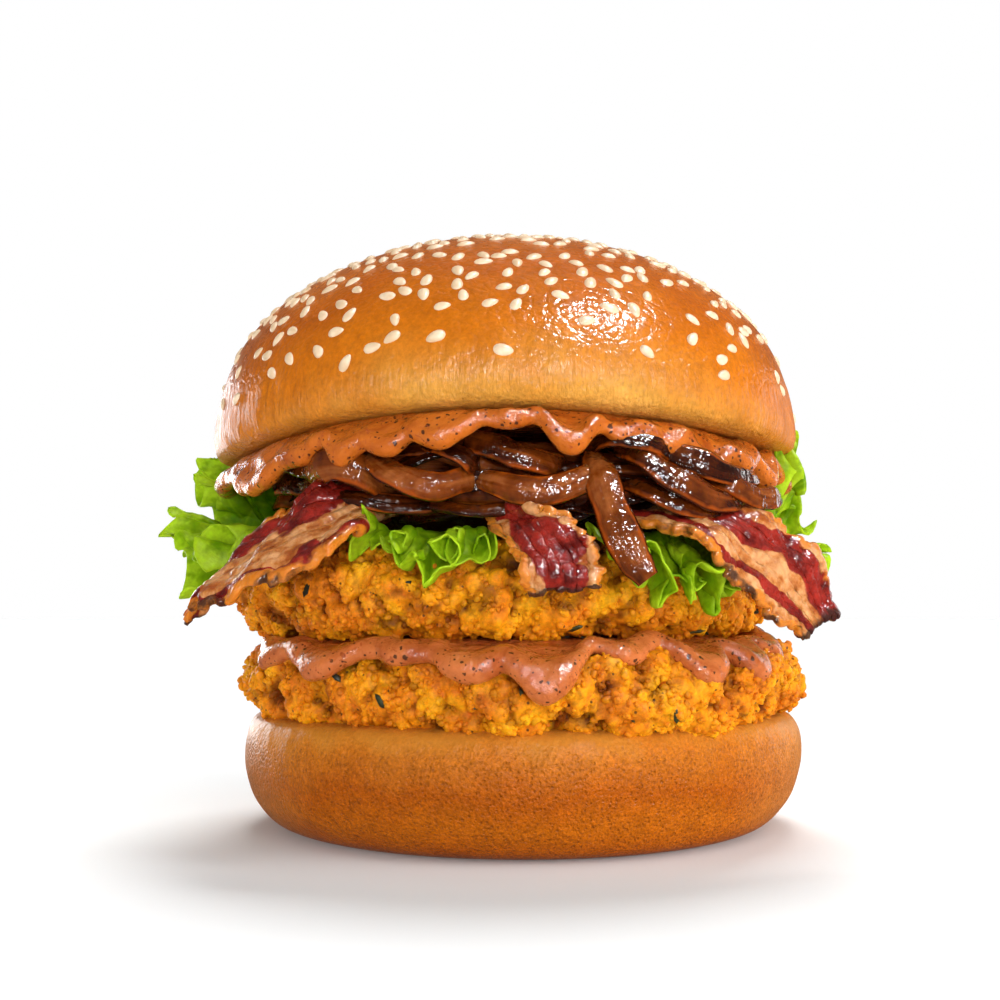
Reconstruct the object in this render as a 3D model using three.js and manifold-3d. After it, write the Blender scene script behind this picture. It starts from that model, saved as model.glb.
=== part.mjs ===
// A tall chicken burger: two breaded patties in a sesame bun, with sauces, lettuce, bacon and caramelised onions.
// Millimetres, +Z up, the front towards -Y. The origin is the centre of the bottom bun's flat base.
import * as THREE from "three";
import { mergeVertices } from "three/addons/utils/BufferGeometryUtils.js";
import Module from "manifold-3d";

const wasm = await Module();
wasm.setup();

// Driving dimensions
const GAP = 0.5; // air left between two pieces that touch
const HEEL = { radius: 54.6, base: 43.5, height: 22.6, middle: 15.5 };
const [PATTY_SIDES, SAUCE_SIDES] = [54, 50];
const LOWER_PATTY = { x: 0.5, bottom: 20.8, top: 36.6, lip: 0, radius: 55.4, edge: 11, seed: 3.1 };
const UPPER_PATTY = { x: -3, bottom: 38.4, top: 54.4, lip: 0.6, radius: 52.6, edge: 9, seed: 7.7 };
const LID = { x: -2.9, radius: 58, height: 37.8, middle: 79, edge: 74.7, sag: 4.2 };
const SEED = { length: 3.1, width: 1.9, thickness: 1.2, sunk: 0.25, count: 78, spacing: 3.2 };
const LEAF = { z: 55.4, thickness: 0.8, root: 20, flat: 46, ruffle: 2.6, waves: 14 };
const BACON = { steps: 18, across: 3, thickness: 2, ruffle: 0.6 };
const ONION = { steps: 5, across: 2, thickness: 1.7, camber: 0.28 };
const HEAP = { radius: 41, low: 56.4, high: 73, groove: 60.2, grooveWidth: 21, ruleSlices: 8 };

// Colours
const CRUST = 0xb8651f;
const PALE_CRUST = 0xcf9448;
const BREADING = 0xcf8520;
const SAUCE = 0xb5653a;
const GREEN = 0x7fb51c;
const BACON_RED = 0x9c3a2a;
const ONION_BROWN = 0x6b3015;

const TAU = Math.PI * 2;
const radians = (degrees) => (degrees * Math.PI) / 180;
const mix = (a, b, t) => a + (b - a) * t;
const smooth = (a, b, x) => THREE.MathUtils.smoothstep(x, a, b);

// A seeded draw from 0 to 1 for item i of a list, k telling its draws apart.
function draw(i, k) {
  const wave = Math.sin(i * 12.9898 + k * 78.233) * 43758.5453;
  return wave - Math.floor(wave);
}

// Smooth lumps from -1 to 1 over space, about `size` across.
function lumps(p, size, seed) {
  const [x, y, z] = [p.x / size, p.y / size, p.z / size];
  const a = Math.sin(2.1 * x + 1.3 * z + seed) * Math.cos(1.9 * y - 0.7 * x + 1.7 * seed);
  const b = Math.sin(3.7 * y + 2.3 * z - seed) * Math.cos(3.1 * x + 1.1 * y + 0.6 * seed);
  return 0.62 * a + 0.38 * b;
}

// How far an outline strays from a circle, as a share of its radius.
function unevenness(angle, seed) {
  const wide = 0.01 * Math.sin(2 * angle + seed) + 0.008 * Math.sin(3 * angle + 1.7 * seed);
  return wide + 0.004 * Math.sin(5 * angle + 2.3 * seed);
}

// Solids

// One vertex for each point, whatever its normals, so that a seam or a pole is moved as one.
function welded(geometry) {
  geometry.deleteAttribute("normal");
  geometry.deleteAttribute("uv");
  return mergeVertices(geometry, 1e-4);
}

function toSolid(geometry) {
  const merged = welded(geometry);
  const corners = merged.index.array;
  const kept = [];
  for (let i = 0; i < corners.length; i += 3) {
    const [a, b, c] = [corners[i], corners[i + 1], corners[i + 2]];
    if (a !== b && b !== c && a !== c) kept.push(a, b, c);
  }
  const vertProperties = new Float32Array(merged.attributes.position.array);
  return new wasm.Manifold(new wasm.Mesh({ numProp: 3, vertProperties, triVerts: new Uint32Array(kept) }));
}

// The largest body of a solid, so that loose scraps left by a cut are dropped.
function largest(solid) {
  return solid.decompose().reduce((best, body) => (body.volume() > best.volume() ? body : best));
}

function joined(first, geometries) {
  return geometries.reduce((whole, piece) => whole.add(toSolid(piece)), first);
}

function cutBack(solid, neighbours) {
  return largest(neighbours.reduce((left, neighbour) => left.subtract(toSolid(neighbour)), solid));
}

function toMesh(name, solid, color, roughness) {
  const { vertProperties, triVerts } = solid.getMesh();
  const geometry = new THREE.BufferGeometry();
  geometry.setAttribute("position", new THREE.BufferAttribute(new Float32Array(vertProperties), 3));
  geometry.setIndex(new THREE.BufferAttribute(new Uint32Array(triVerts), 1));
  geometry.computeVertexNormals();
  const mesh = new THREE.Mesh(geometry, new THREE.MeshStandardMaterial({ color, roughness, metalness: 0 }));
  mesh.name = name;
  return mesh;
}

// A copy of a round geometry that stands `by` proud of it on every side.
function grown(geometry, by) {
  const box = new THREE.Box3().setFromBufferAttribute(geometry.attributes.position);
  const middle = box.getCenter(new THREE.Vector3());
  const size = box.getSize(new THREE.Vector3());
  const scale = size.clone().addScalar(2 * by).divide(size);
  const copy = geometry.clone().translate(-middle.x, -middle.y, -middle.z);
  return copy.scale(scale.x, scale.y, scale.z).translate(middle.x, middle.y, middle.z);
}

// A turned shape whose every point is then moved. The profile runs from the axis below to the axis above.
function turned(profile, segments, move) {
  const outline = profile.map(([r, z]) => new THREE.Vector2(r, z));
  const geometry = welded(new THREE.LatheGeometry(outline, segments).rotateX(Math.PI / 2));
  const position = geometry.attributes.position;
  const p = new THREE.Vector3();
  for (let i = 0; i < position.count; i++) {
    p.fromBufferAttribute(position, i);
    move(p);
    position.setXYZ(i, p.x, p.y, p.z);
  }
  return geometry;
}

// A thin closed sheet whose middle surface is middle(u, v), with both faces split alike.
function sheet(columns, rows, middle, thickness) {
  const face = new THREE.PlaneGeometry(1, 1, columns, rows);
  const count = face.attributes.position.count;
  const step = 0.01;
  const at = (u, v) => middle(THREE.MathUtils.clamp(u, 0, 1), THREE.MathUtils.clamp(v, 0, 1));
  const points = [];
  for (const side of [0.5, -0.5]) {
    for (let i = 0; i < count; i++) {
      const u = face.attributes.position.getX(i) + 0.5;
      const v = face.attributes.position.getY(i) + 0.5;
      const alongU = at(u + step, v).sub(at(u - step, v));
      const alongV = at(u, v + step).sub(at(u, v - step));
      const normal = alongU.cross(alongV).normalize();
      points.push(...at(u, v).addScaledVector(normal, side * thickness));
    }
  }
  const index = [];
  const corners = face.index.array;
  for (let i = 0; i < corners.length; i += 3) {
    const [a, b, c] = [corners[i], corners[i + 1], corners[i + 2]];
    index.push(a, b, c, a + count, c + count, b + count);
  }
  const width = columns + 1;
  const last = rows * width;
  const rim = [];
  for (let i = 0; i < columns; i++) rim.push(last + i);
  for (let j = rows; j > 0; j--) rim.push(j * width + columns);
  for (let i = columns; i > 0; i--) rim.push(i);
  for (let j = 0; j < rows; j++) rim.push(j * width);
  rim.forEach((a, i) => {
    const b = rim[(i + 1) % rim.length];
    index.push(a, a + count, b, b, a + count, b + count);
  });
  const geometry = new THREE.BufferGeometry();
  geometry.setAttribute("position", new THREE.Float32BufferAttribute(points, 3));
  geometry.setIndex(index);
  return geometry;
}

function curveThrough(points, kind) {
  return new THREE.CatmullRomCurve3(points.map((point) => new THREE.Vector3(...point)), false, kind);
}

// A ribbon through stations of centre and half-width vector, arched across by `camber` and ruffled by `ruffle`.
function ribbon(stations, { steps, across, thickness, camber = 0, ruffle = 0, seed = 0, grow = 0 }) {
  const path = curveThrough(stations.map(([centre]) => centre), "centripetal");
  const halves = curveThrough(stations.map(([, half]) => half), "catmullrom");
  const middle = (u, v) => {
    const half = halves.getPoint(u);
    const ahead = path.getTangent(u);
    const normal = ahead.clone().cross(half).normalize();
    const side = 2 * v - 1;
    const stretch = 1 + grow / half.length();
    const edge = 0.35 + 0.65 * Math.abs(side);
    const wave = edge * Math.sin(TAU * (u * steps * 0.42 + 0.22 * side) + seed);
    const arch = camber * half.length() * (1 - side * side);
    const point = path.getPoint(u).addScaledVector(ahead, grow * (2 * u - 1) ** 9);
    return point.addScaledVector(half, side * stretch).addScaledVector(normal, arch + ruffle * wave);
  };
  return sheet(steps, across, middle, thickness + 2 * grow);
}

// Buns

function heel() {
  const { radius, base, height, middle } = HEEL;
  const profile = [[0, 0], [base, 0]];
  for (const degrees of [-62, -38, -14]) {
    const t = radians(degrees);
    profile.push([base + (radius - base) * Math.cos(t), middle * (1 + Math.sin(t))]);
  }
  profile.push([radius, middle], [radius - 0.4, height - 3.4], [radius - 1.9, height - 0.9]);
  profile.push([radius - 5, height], [0, height + 0.4]);
  return turned(profile, 42, (p) => {
    const angle = Math.atan2(p.y, p.x);
    const spread = 1 + unevenness(angle, 0.8) * smooth(0, 8, p.z);
    p.x *= spread;
    p.y *= spread;
  });
}

// The top bun arches over the fillings: how far its rim, and what lies under its rim, droops at the two sides.
function droop(x, reach) {
  return LID.sag * (x / LID.radius) ** 2 * smooth(44, 52, reach);
}

// The dome's shape: tilt is 0 at the top and a quarter turn at its widest.
function lidPoint(angle, tilt) {
  const { x, radius, height, middle } = LID;
  const r = radius * Math.sin(tilt) * (1 + unevenness(angle, 2.4));
  const z = middle + height * Math.cos(tilt);
  const across = r * Math.cos(angle);
  const down = droop(across, r) * (1 - smooth(middle, middle + 0.55 * height, z));
  return new THREE.Vector3(x + across, r * Math.sin(angle), z - down);
}

function lidDome() {
  const { x, radius, height, middle, edge } = LID;
  const under = middle - edge;
  const profile = [[0, edge + 0.5], [radius * 0.8, edge + 0.3], [radius - 6.5, edge]];
  profile.push([radius - 3, edge + 0.5], [radius - 0.8, edge + 0.4 * under]);
  const rings = 8;
  for (let i = 0; i <= rings; i++) {
    const tilt = (Math.PI / 2) * (1 - i / rings);
    profile.push([radius * Math.sin(tilt), middle + height * Math.cos(tilt)]);
  }
  return turned(profile, 44, (p) => {
    const spread = 1 + unevenness(Math.atan2(p.y, p.x), 2.4);
    const down = droop(p.x, Math.hypot(p.x, p.y)) * (1 - smooth(middle, middle + 0.55 * height, p.z));
    p.set(x + p.x * spread, p.y * spread, p.z - down);
  });
}

// Seeds lie thick on the top and thin out down the sides, no two closer than the spacing.
function seedSites(count) {
  const sites = [];
  for (let i = 1; sites.length < count; i++) {
    const drop = 0.76 * draw(i, 1);
    const angle = TAU * draw(i, 2);
    const tilt = Math.acos(1 - drop);
    const centre = lidPoint(angle, tilt);
    const thinned = draw(i, 3) < 0.9 * smooth(0.3, 0.76, drop);
    const crowded = sites.some((site) => site.centre.distanceTo(centre) < SEED.spacing);
    const [turn, size] = [TAU * draw(i, 4), mix(0.88, 1.12, draw(i, 5))];
    if (!thinned && !crowded) sites.push({ centre, angle, tilt, turn, size });
  }
  return sites;
}

function seed({ centre, angle, tilt, turn, size }) {
  const grain = new THREE.SphereGeometry(0.5, 5, 3);
  const position = grain.attributes.position;
  for (let i = 0; i < position.count; i++) {
    const along = position.getX(i);
    const taper = 1 - 0.7 * along;
    const across = position.getZ(i) * SEED.width * size * taper;
    position.setXYZ(i, along * SEED.length * size, -across, position.getY(i) * SEED.thickness);
  }
  const around = lidPoint(angle + 0.01, tilt).sub(centre).normalize();
  const down = lidPoint(angle, tilt + 0.01).sub(centre).normalize();
  const out = down.clone().cross(around).normalize();
  const heading = around.multiplyScalar(Math.cos(turn)).addScaledVector(down, Math.sin(turn)).normalize();
  const sideways = out.clone().cross(heading).normalize();
  const place = new THREE.Matrix4().makeBasis(sideways.clone().cross(out), sideways, out);
  place.setPosition(centre.clone().addScaledVector(out, -SEED.sunk));
  return grain.applyMatrix4(place);
}

function lid() {
  return joined(toSolid(lidDome()), seedSites(SEED.count).map(seed));
}

// Chicken patties: flat in the middle, craggy with breading round the edge, whose lip hangs a little lower.
function patty({ x, bottom, top, lip, radius, edge, seed: pattySeed }) {
  const flat = radius - edge - 3;
  const [low, middle] = [bottom - lip, (top + bottom - lip) / 2];
  const profile = [[0, bottom], [flat, bottom]];
  for (let degrees = -75; degrees <= 75; degrees += 30) {
    const t = radians(degrees);
    profile.push([radius - edge + edge * Math.cos(t), middle + (middle - low) * Math.sin(t)]);
  }
  profile.push([flat, top], [0, top]);
  return turned(profile, PATTY_SIDES, (p) => {
    const angle = Math.atan2(p.y, p.x);
    const reach = Math.hypot(p.x, p.y);
    const rough = smooth(radius - edge - 1, radius - 2, reach);
    const item = Math.round((angle / TAU) * PATTY_SIDES) + PATTY_SIDES * Math.round(p.z - low);
    const grit = 1.4 * (draw(item + 90, 7) - 0.5);
    const crag = 1.6 * lumps(p, 5.5, pattySeed) + 0.8 * lumps(p, 2.4, pattySeed + 2) + grit;
    const spread = 1 + (unevenness(angle, pattySeed) * radius + rough * crag) / Math.max(reach, 1);
    p.set(x + p.x * spread, p.y * spread, p.z);
  });
}

// How near a direction is to a drip of some half-width, from 0 to 1.
function bell(angle, degrees, width) {
  const off = radians(degrees) - angle;
  return Math.exp(-((Math.atan2(Math.sin(off), Math.cos(off)) / radians(width)) ** 2));
}

// A layer of sauce. It lies flat to the radius `flat`, turns down over a round shoulder and hangs as far as its drips
// run. A drip is its direction and half-width in degrees, its length along the hang and its extra thickness.
function sauceLayer({ x, bottom, top, flat, shoulder, drips, hang, skin, arched, seed: sauceSeed }) {
  const [width, height] = shoulder;
  const quarter = (Math.PI / 4) * (width + height);
  const under = [[0, 0], [1, 0], [1.35, 0], [1.7, 0], [2, 0.15]];
  const profile = [...under, ...under.map(([along, level]) => [along, 1 - level]).reverse()];
  return turned(profile, SAUCE_SIDES, (p) => {
    const angle = Math.atan2(p.y, p.x);
    const along = Math.hypot(p.x, p.y);
    const hung = Math.max(0, along - 1);
    const length = Math.max(...drips.map(([degrees, spread, run]) => run * bell(angle, degrees, spread)));
    const bulge = Math.max(...drips.map(([degrees, spread, , out]) => out * bell(angle, degrees, spread)));
    const ripple = 0.5 * Math.sin(7 * angle + sauceSeed) + 0.4 * Math.sin(11 * angle + 2 * sauceSeed);
    const distance = hung * (hang + ripple + length);
    const turn = Math.min(1, distance / quarter) * (Math.PI / 2);
    const thick = mix(top - bottom, skin + bulge, smooth(0.3, 1, hung));
    const reach = flat * Math.min(1, along) + (width + p.z * thick) * Math.sin(turn);
    const drop = height * (1 - Math.cos(turn)) + Math.max(0, distance - quarter);
    const across = reach * Math.cos(angle);
    const arch = arched ? droop(across, reach) : 0;
    p.set(x + across, reach * Math.sin(angle), bottom - drop - arch + p.z * thick * Math.cos(turn));
  });
}

// Lettuce leaves. Stations run round the leaf's edge: direction in degrees, reach and height there.
const LEFT_EDGE = [
  [99, 43, 55.4], [104, 44, 55.4], [122, 45, 55.4], [131, 60, 55], [146, 64, 60], [161, 63, 68],
  [173, 64.5, 73.6], [183, 68, 65], [193, 71, 55.5], [203, 68, 51], [213, 57, 55], [224, 47.5, 57],
  [235, 49, 55.6], [242, 57, 54], [250, 61, 51.5], [258, 59, 52], [264, 50, 53.8],
];
const RIGHT_EDGE = [
  [274, 47, 55.6], [283, 50, 55.4], [289, 60, 50], [295, 62, 47.5], [300, 58, 49], [305, 47, 55.4],
  [318, 45, 56], [328, 46, 56], [336, 56, 68], [343, 58, 72.5], [349, 59, 67], [354, 62, 58],
  [360, 64, 50], [367, 60, 54], [378, 62, 63], [390, 61, 53], [403, 60, 58], [410, 46, 55.4],
  [441, 43, 55.4],
];

function leaf(edge, phase) {
  const line = curveThrough(edge, "catmullrom");
  const middle = (u, v) => {
    const { x: degrees, y: reach, z: height } = line.getPoint(u);
    const r = mix(LEAF.root, reach, v ** 0.6);
    const free = smooth(LEAF.flat, LEAF.flat + 12, r);
    const rise = smooth(LEAF.flat + 2, Math.max(reach, LEAF.flat + 3), r);
    const turns = TAU * LEAF.waves * u + phase;
    const curl = free * LEAF.ruffle;
    const angle = radians(degrees) + (0.6 * curl * Math.cos(turns + 0.8)) / r;
    const out = r + 0.7 * curl * Math.sin(2 * turns + phase);
    const z = mix(LEAF.z, height, rise) + curl * (Math.sin(turns) + 1 - free);
    return new THREE.Vector3(out * Math.cos(angle), out * Math.sin(angle), z);
  };
  return sheet(36, 4, middle, LEAF.thickness);
}

// Bacon rashers, each through stations of centre and half-width, front tip first.
const BACON_LEFT = [
  [[-57.5, -38.5, 42.5], [-3.2, -1.5, -2.6]], [[-51, -43, 50], [-4.6, -5.5, -5]],
  [[-41, -47.5, 55.5], [-3.5, -8.5, -7]], [[-30, -47, 60.2], [-1, -9, -5.4]],
  [[-21.5, -36, 60], [-5.5, -6.5, -0.4]], [[-18.5, -20, 58], [-8.2, -0.5, 0]],
  [[-18.5, 20, 58], [-8.2, 0, 0]], [[-20, 44, 58], [-8.4, -1.5, 0]],
  [[-22, 55.5, 53], [-8.4, -3, 0]], [[-23, 59, 46], [-7, -3, 0]],
];
const BACON_MIDDLE = [
  [[6.4, -61, 45], [5.6, 0.6, 0.6]], [[5.4, -60, 50.5], [6.8, 0.3, 0]],
  [[1.6, -56.6, 56.4], [6.2, -3.4, 0.6]], [[-4, -49, 60], [4.8, -6.2, -1]],
  [[-3, -37, 59.4], [7, -3, 0]], [[0, -20, 58], [8, 0, 0]],
  [[0, 20, 58], [8, 0, 0]], [[1, 44, 58], [8, 0.5, 0]],
  [[1.5, 56.5, 53.5], [7.6, 0.5, 0]], [[2, 60, 46.5], [6, 0, 0]],
];
const BACON_RIGHT = [
  [[52, -41, 38.6], [3.4, 2.2, 2]], [[46.6, -44.5, 46.4], [6, 4.6, 4.2]],
  [[39, -48.4, 53], [5.6, 6.4, 4.8]], [[29.5, -49.2, 58], [2.6, 8, 3.4]],
  [[20.6, -38, 59.4], [6, 5.6, 1]], [[18.5, -20, 58], [8.2, 0.5, 0]],
  [[18.5, 20, 58], [8.2, 0, 0]], [[21, 42, 58], [8.2, -2, 0]],
  [[26, 53.5, 53], [7.6, -4, 0]], [[29, 57.5, 46.5], [6, -3, 0]],
];
const RASHERS = [BACON_LEFT, BACON_MIDDLE, BACON_RIGHT];

function rasher(stations, i, grow = 0) {
  return ribbon(stations, { ...BACON, seed: i * 2.1, grow });
}

// Caramelised onions: slices that show, by hand at the front, where each one lies differently.
const FRONT_SLICES = [
  [[[-39, -40, 66], [0, -1, 3.3]], [[-33, -46, 64.5], [0, -2, 3.4]], [[-24, -46, 65], [0, -1, 3.2]],
    [[-13, -38, 66], [0, 0, 3]]],
  [[[-29, -41, 69.5], [0.6, -1, 2.4]], [[-24, -48.5, 67.5], [1.5, -2, 3.2]], [[-16, -52, 65], [0.6, -1.5, 3.6]],
    [[-8, -48, 67], [-1, -1, 3.4]], [[-3, -38, 68.5], [-1, 0, 2.6]]],
  [[[-14, -43, 70.4], [1.2, -2, 2.2]], [[-8, -50.5, 69.4], [2, -2.4, 2.8]], [[-0.5, -52, 67.8], [1.6, -2, 3.2]],
    [[6, -45, 67], [1, 0, 3]]],
  [[[-9, -42, 66], [0, -1.4, 3]], [[-3, -52, 64], [0, -1.6, 3]], [[5, -54.5, 63.6], [0, -1.6, 3]],
    [[12, -51, 66], [-1, -1.6, 3]], [[15, -41, 69], [-1, 0, 2.8]]],
  [[[12.5, -47, 68.5], [3.4, 0, 0.4]], [[13.2, -55, 63], [4, -0.6, 0.6]], [[15.6, -58.4, 55], [4, -0.8, 1.6]],
    [[19.6, -60.2, 47.5], [3, 0.4, 2.6]]],
  [[[11, -41, 70.4], [1, -1, 2]], [[20, -49.5, 68], [1.8, -1.6, 3]], [[30, -49, 64], [1.8, -1, 3.4]],
    [[38, -40, 64.6], [-0.6, -1, 3]]],
  [[[17, -43, 66], [0.6, -1, 2.4]], [[24, -51.5, 62.4], [0.8, -1.6, 2.6]], [[32, -49, 61.4], [0.8, -1.4, 2.6]],
    [[39, -37, 63], [0, 0, 2.4]]],
  [[[31, -40, 66], [0, -1, 2.8]], [[38, -42.4, 63.4], [0.4, -1, 3]], [[45, -34, 64.6], [0, -0.4, 2.6]],
    [[41, -22, 66], [0, 0, 2.4]]],
];

// Round the sides and back the slices follow a rule: short arcs that cross one another at three heights.
function ruleSlice(i) {
  const degrees = 18 + i * 26;
  const [start, sweep] = [radians(degrees - 15), radians(30 + 10 * draw(i, 11))];
  const low = 64.4 + 1.9 * (i % 3) + 0.5 * draw(i, 12);
  return [0, 1, 2, 3].map((k) => {
    const angle = start + (sweep * k) / 3;
    const reach = 38 + 9.5 * Math.sin((Math.PI * (k + 0.35)) / 3.7) + 1.5 * draw(i, 13);
    const z = low + (k - 1.5) * mix(-1.1, 1.1, draw(i, 14));
    const half = [-0.5 * Math.cos(angle), -0.5 * Math.sin(angle), 3.1];
    return [[reach * Math.cos(angle) - 1, reach * Math.sin(angle), z], half];
  });
}

const SLICES = [...FRONT_SLICES, ...Array.from({ length: HEAP.ruleSlices }, (_, i) => ruleSlice(i))];

function onionSlice(stations, grow = 0) {
  return ribbon(stations, { ...ONION, grow });
}

function onionCore() {
  const { radius, low, high } = HEAP;
  const profile = [[0, low], [radius - 1.5, low], [radius, mix(low, high, 0.3)], [radius, mix(low, high, 0.7)]];
  profile.push([radius - 5, high], [0, high]);
  return turned(profile, 18, (p) => {
    const spread = 1 + 0.05 * lumps(p, 9, 1.3);
    p.set(p.x * spread - 1, p.y * spread, p.z);
  });
}

// The heap lies over the rashers: a straight channel under it for each one.
function channel(stations) {
  const [[x]] = stations[Math.floor(stations.length / 2)];
  const height = 2 * (HEAP.groove - HEAP.low);
  return new THREE.BoxGeometry(HEAP.grooveWidth, 3 * HEAP.radius, height).translate(x, 0, HEAP.low);
}

const LOWER_SAUCE = {
  x: LOWER_PATTY.x - 1, bottom: 36.9, top: 37.6, flat: 43, shoulder: [12.4, 8], hang: 4, skin: 1.4, seed: 0.6,
  drips: [
    [228, 14, 8.4, 1.8], [246, 9, 5.4, 1.6], [260, 9, 7.6, 1.8], [274.5, 8, 11.6, 2.4], [290, 9, 4.6, 1.4],
    [307, 7, 9.6, 2], [321, 6, 9, 1.8], [196, 14, 4, 1.2], [350, 12, 3, 1], [30, 12, 6, 1.6], [75, 14, 7, 1.6],
    [110, 9, 10, 2.2], [150, 13, 8, 1.6],
  ],
};
const UPPER_SAUCE = {
  x: LID.x, bottom: 73.4, top: 74.4, flat: 45, shoulder: [4, 3], hang: 4, skin: 1.8, seed: 2.2, arched: true,
  drips: [
    [216, 12, 7, 1.6], [236, 7, 4, 1.2], [256, 7, 2, 1], [279, 9, 2, 1], [308, 7, 4.4, 1.4], [322, 6, 4.6, 1.4],
    [190, 10, 3, 0.8], [20, 12, 4.6, 1.2], [62, 10, 3.6, 1], [95, 12, 5, 1.4], [135, 10, 4, 1.2],
  ],
};

// Assembly, from the table up. Each soft piece is cut back where it presses on what was laid before it.
const bottomBun = toSolid(heel());
const lowerPatty = cutBack(toSolid(patty(LOWER_PATTY)), [grown(heel(), GAP)]);
const lowerSauce = cutBack(toSolid(sauceLayer(LOWER_SAUCE)), [grown(patty(LOWER_PATTY), GAP)]);
const upperPatty = toSolid(patty(UPPER_PATTY));
const leaves = [toSolid(leaf(LEFT_EDGE, 0.4)), toSolid(leaf(RIGHT_EDGE, 2.2))];
const rashers = RASHERS.map((stations, i) => toSolid(rasher(stations, i)));

const core = cutBack(toSolid(onionCore()), RASHERS.map(channel));
const heap = joined(core, SLICES.map((slice) => onionSlice(slice)));
const onions = cutBack(heap, RASHERS.map((stations, i) => rasher(stations, i, GAP)));
const sauceNeighbours = [grown(lidDome(), GAP), ...SLICES.map((slice) => onionSlice(slice, GAP))];
const upperSauce = cutBack(toSolid(sauceLayer(UPPER_SAUCE)), sauceNeighbours);

const burger = new THREE.Group();
burger.add(toMesh("bun_bottom", bottomBun, PALE_CRUST, 0.6));
burger.add(toMesh("patty_lower", lowerPatty, BREADING, 0.8));
burger.add(toMesh("sauce_lower", lowerSauce, SAUCE, 0.25));
burger.add(toMesh("patty_upper", upperPatty, BREADING, 0.8));
["lettuce_left", "lettuce_right"].forEach((name, i) => burger.add(toMesh(name, leaves[i], GREEN, 0.5)));
["bacon_left", "bacon_middle", "bacon_right"].forEach((name, i) => {
  burger.add(toMesh(name, rashers[i], BACON_RED, 0.4));
});
burger.add(toMesh("caramelised_onions", onions, ONION_BROWN, 0.2));
burger.add(toMesh("sauce_upper", upperSauce, SAUCE, 0.25));
burger.add(toMesh("bun_top", lid(), CRUST, 0.35));

export default burger;
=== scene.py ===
"""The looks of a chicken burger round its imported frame: crusts, breading, sauces, leaves, rashers, onions.

Shapes are worked out in millimetres, in the frame's own axes, and turned into metres when a mesh is made.
"""

import math

import bpy
import numpy as np
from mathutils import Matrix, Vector


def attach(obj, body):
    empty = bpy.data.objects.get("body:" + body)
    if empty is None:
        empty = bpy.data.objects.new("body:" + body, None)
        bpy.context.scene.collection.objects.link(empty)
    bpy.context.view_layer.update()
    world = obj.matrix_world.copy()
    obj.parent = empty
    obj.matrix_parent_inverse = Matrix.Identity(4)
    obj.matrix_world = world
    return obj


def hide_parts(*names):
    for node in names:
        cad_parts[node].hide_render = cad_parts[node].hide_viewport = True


bl_info = {
    "name": "Chicken burger",
    "version": (1, 0, 0),
    "blender": (4, 5, 0),
    "location": "3D View > Sidebar > Burger",
    "description": "Builds the visible pieces of a chicken burger round its packed frame",
    "category": "Add Mesh",
}

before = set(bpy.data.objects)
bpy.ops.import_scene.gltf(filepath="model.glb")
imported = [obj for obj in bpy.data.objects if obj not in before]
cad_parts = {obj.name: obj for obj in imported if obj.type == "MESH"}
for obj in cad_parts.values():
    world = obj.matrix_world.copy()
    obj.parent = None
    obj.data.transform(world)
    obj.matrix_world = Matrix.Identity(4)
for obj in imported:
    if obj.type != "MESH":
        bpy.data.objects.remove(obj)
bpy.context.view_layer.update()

MM = 0.001
TAU = math.tau
BODY = "root"
ROOT_COLLECTION = bpy.context.scene.collection


# Small sums


def mix(a, b, t):
    return a + (b - a) * t


def smooth(a, b, x):
    t = np.clip((x - a) / (b - a), 0, 1)
    return t * t * (3 - 2 * t)


def draw(i, k):
    """A seeded draw from 0 to 1 for item i of a list, k telling its draws apart."""
    wave = np.sin(i * 12.9898 + k * 78.233) * 43758.5453
    return wave - np.floor(wave)


def lumps(p, size, seed):
    """Smooth lumps from -1 to 1 over space, about `size` across."""
    x, y, z = (p[..., axis] / size for axis in range(3))
    a = np.sin(2.1 * x + 1.3 * z + seed) * np.cos(1.9 * y - 0.7 * x + 1.7 * seed)
    b = np.sin(3.7 * y + 2.3 * z - seed) * np.cos(3.1 * x + 1.1 * y + 0.6 * seed)
    return 0.62 * a + 0.38 * b


def unevenness(angle, seed):
    """How far an outline strays from a circle, as a share of its radius."""
    wide = 0.01 * np.sin(2 * angle + seed) + 0.008 * np.sin(3 * angle + 1.7 * seed)
    return wide + 0.004 * np.sin(5 * angle + 2.3 * seed)


def scrambled(cells, seed):
    """A fixed number from 0 to 1 for each whole-number cell."""
    x, y, z = (cells[..., axis].astype(np.int64) for axis in range(3))
    n = (x * 73856093) ^ (y * 19349663) ^ (z * 83492791) ^ (int(seed) * 2654435761)
    n = (n ^ (n >> 13)) & 0x7FFFFFFF
    n = (n * 1274126177 + 12345) & 0x7FFFFFFF
    n = ((n ^ (n >> 15)) * 668265263) & 0x7FFFFFFF
    return n / 0x7FFFFFFF


def soft_noise(p, size, seed):
    """Smooth noise from -1 to 1, about `size` from one swell to the next."""
    place = p / size
    cell = np.floor(place)
    t = place - cell
    t = t * t * (3 - 2 * t)
    total = 0
    for corner in np.ndindex(2, 2, 2):
        weight = np.prod(np.where(np.array(corner) == 1, t, 1 - t), axis=-1)
        total = total + weight * scrambled(cell + np.array(corner), seed)
    return 2 * total - 1


def granules(p, size, seed):
    """Heights from 0 to 1 of round grains packed about `size` apart, with creases between them."""
    place = p / size
    cell = np.floor(place)
    height = np.zeros(p.shape[:-1])
    for step in np.ndindex(3, 3, 3):
        near = cell + np.array(step) - 1
        centre = near + np.stack([scrambled(near, seed + k) for k in (1, 2, 3)], axis=-1)
        girth = mix(0.5, 0.95, scrambled(near, seed + 4))
        away = np.sum((place - centre) ** 2, axis=-1) / girth**2
        height = np.maximum(height, np.sqrt(np.clip(1 - away, 0, 1)) * girth)
    return height / 0.95


def from_axis(grid, x=0):
    """How far each point lies from the upright axis at x."""
    return np.hypot(grid[..., 0] - x, grid[..., 1])


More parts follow.
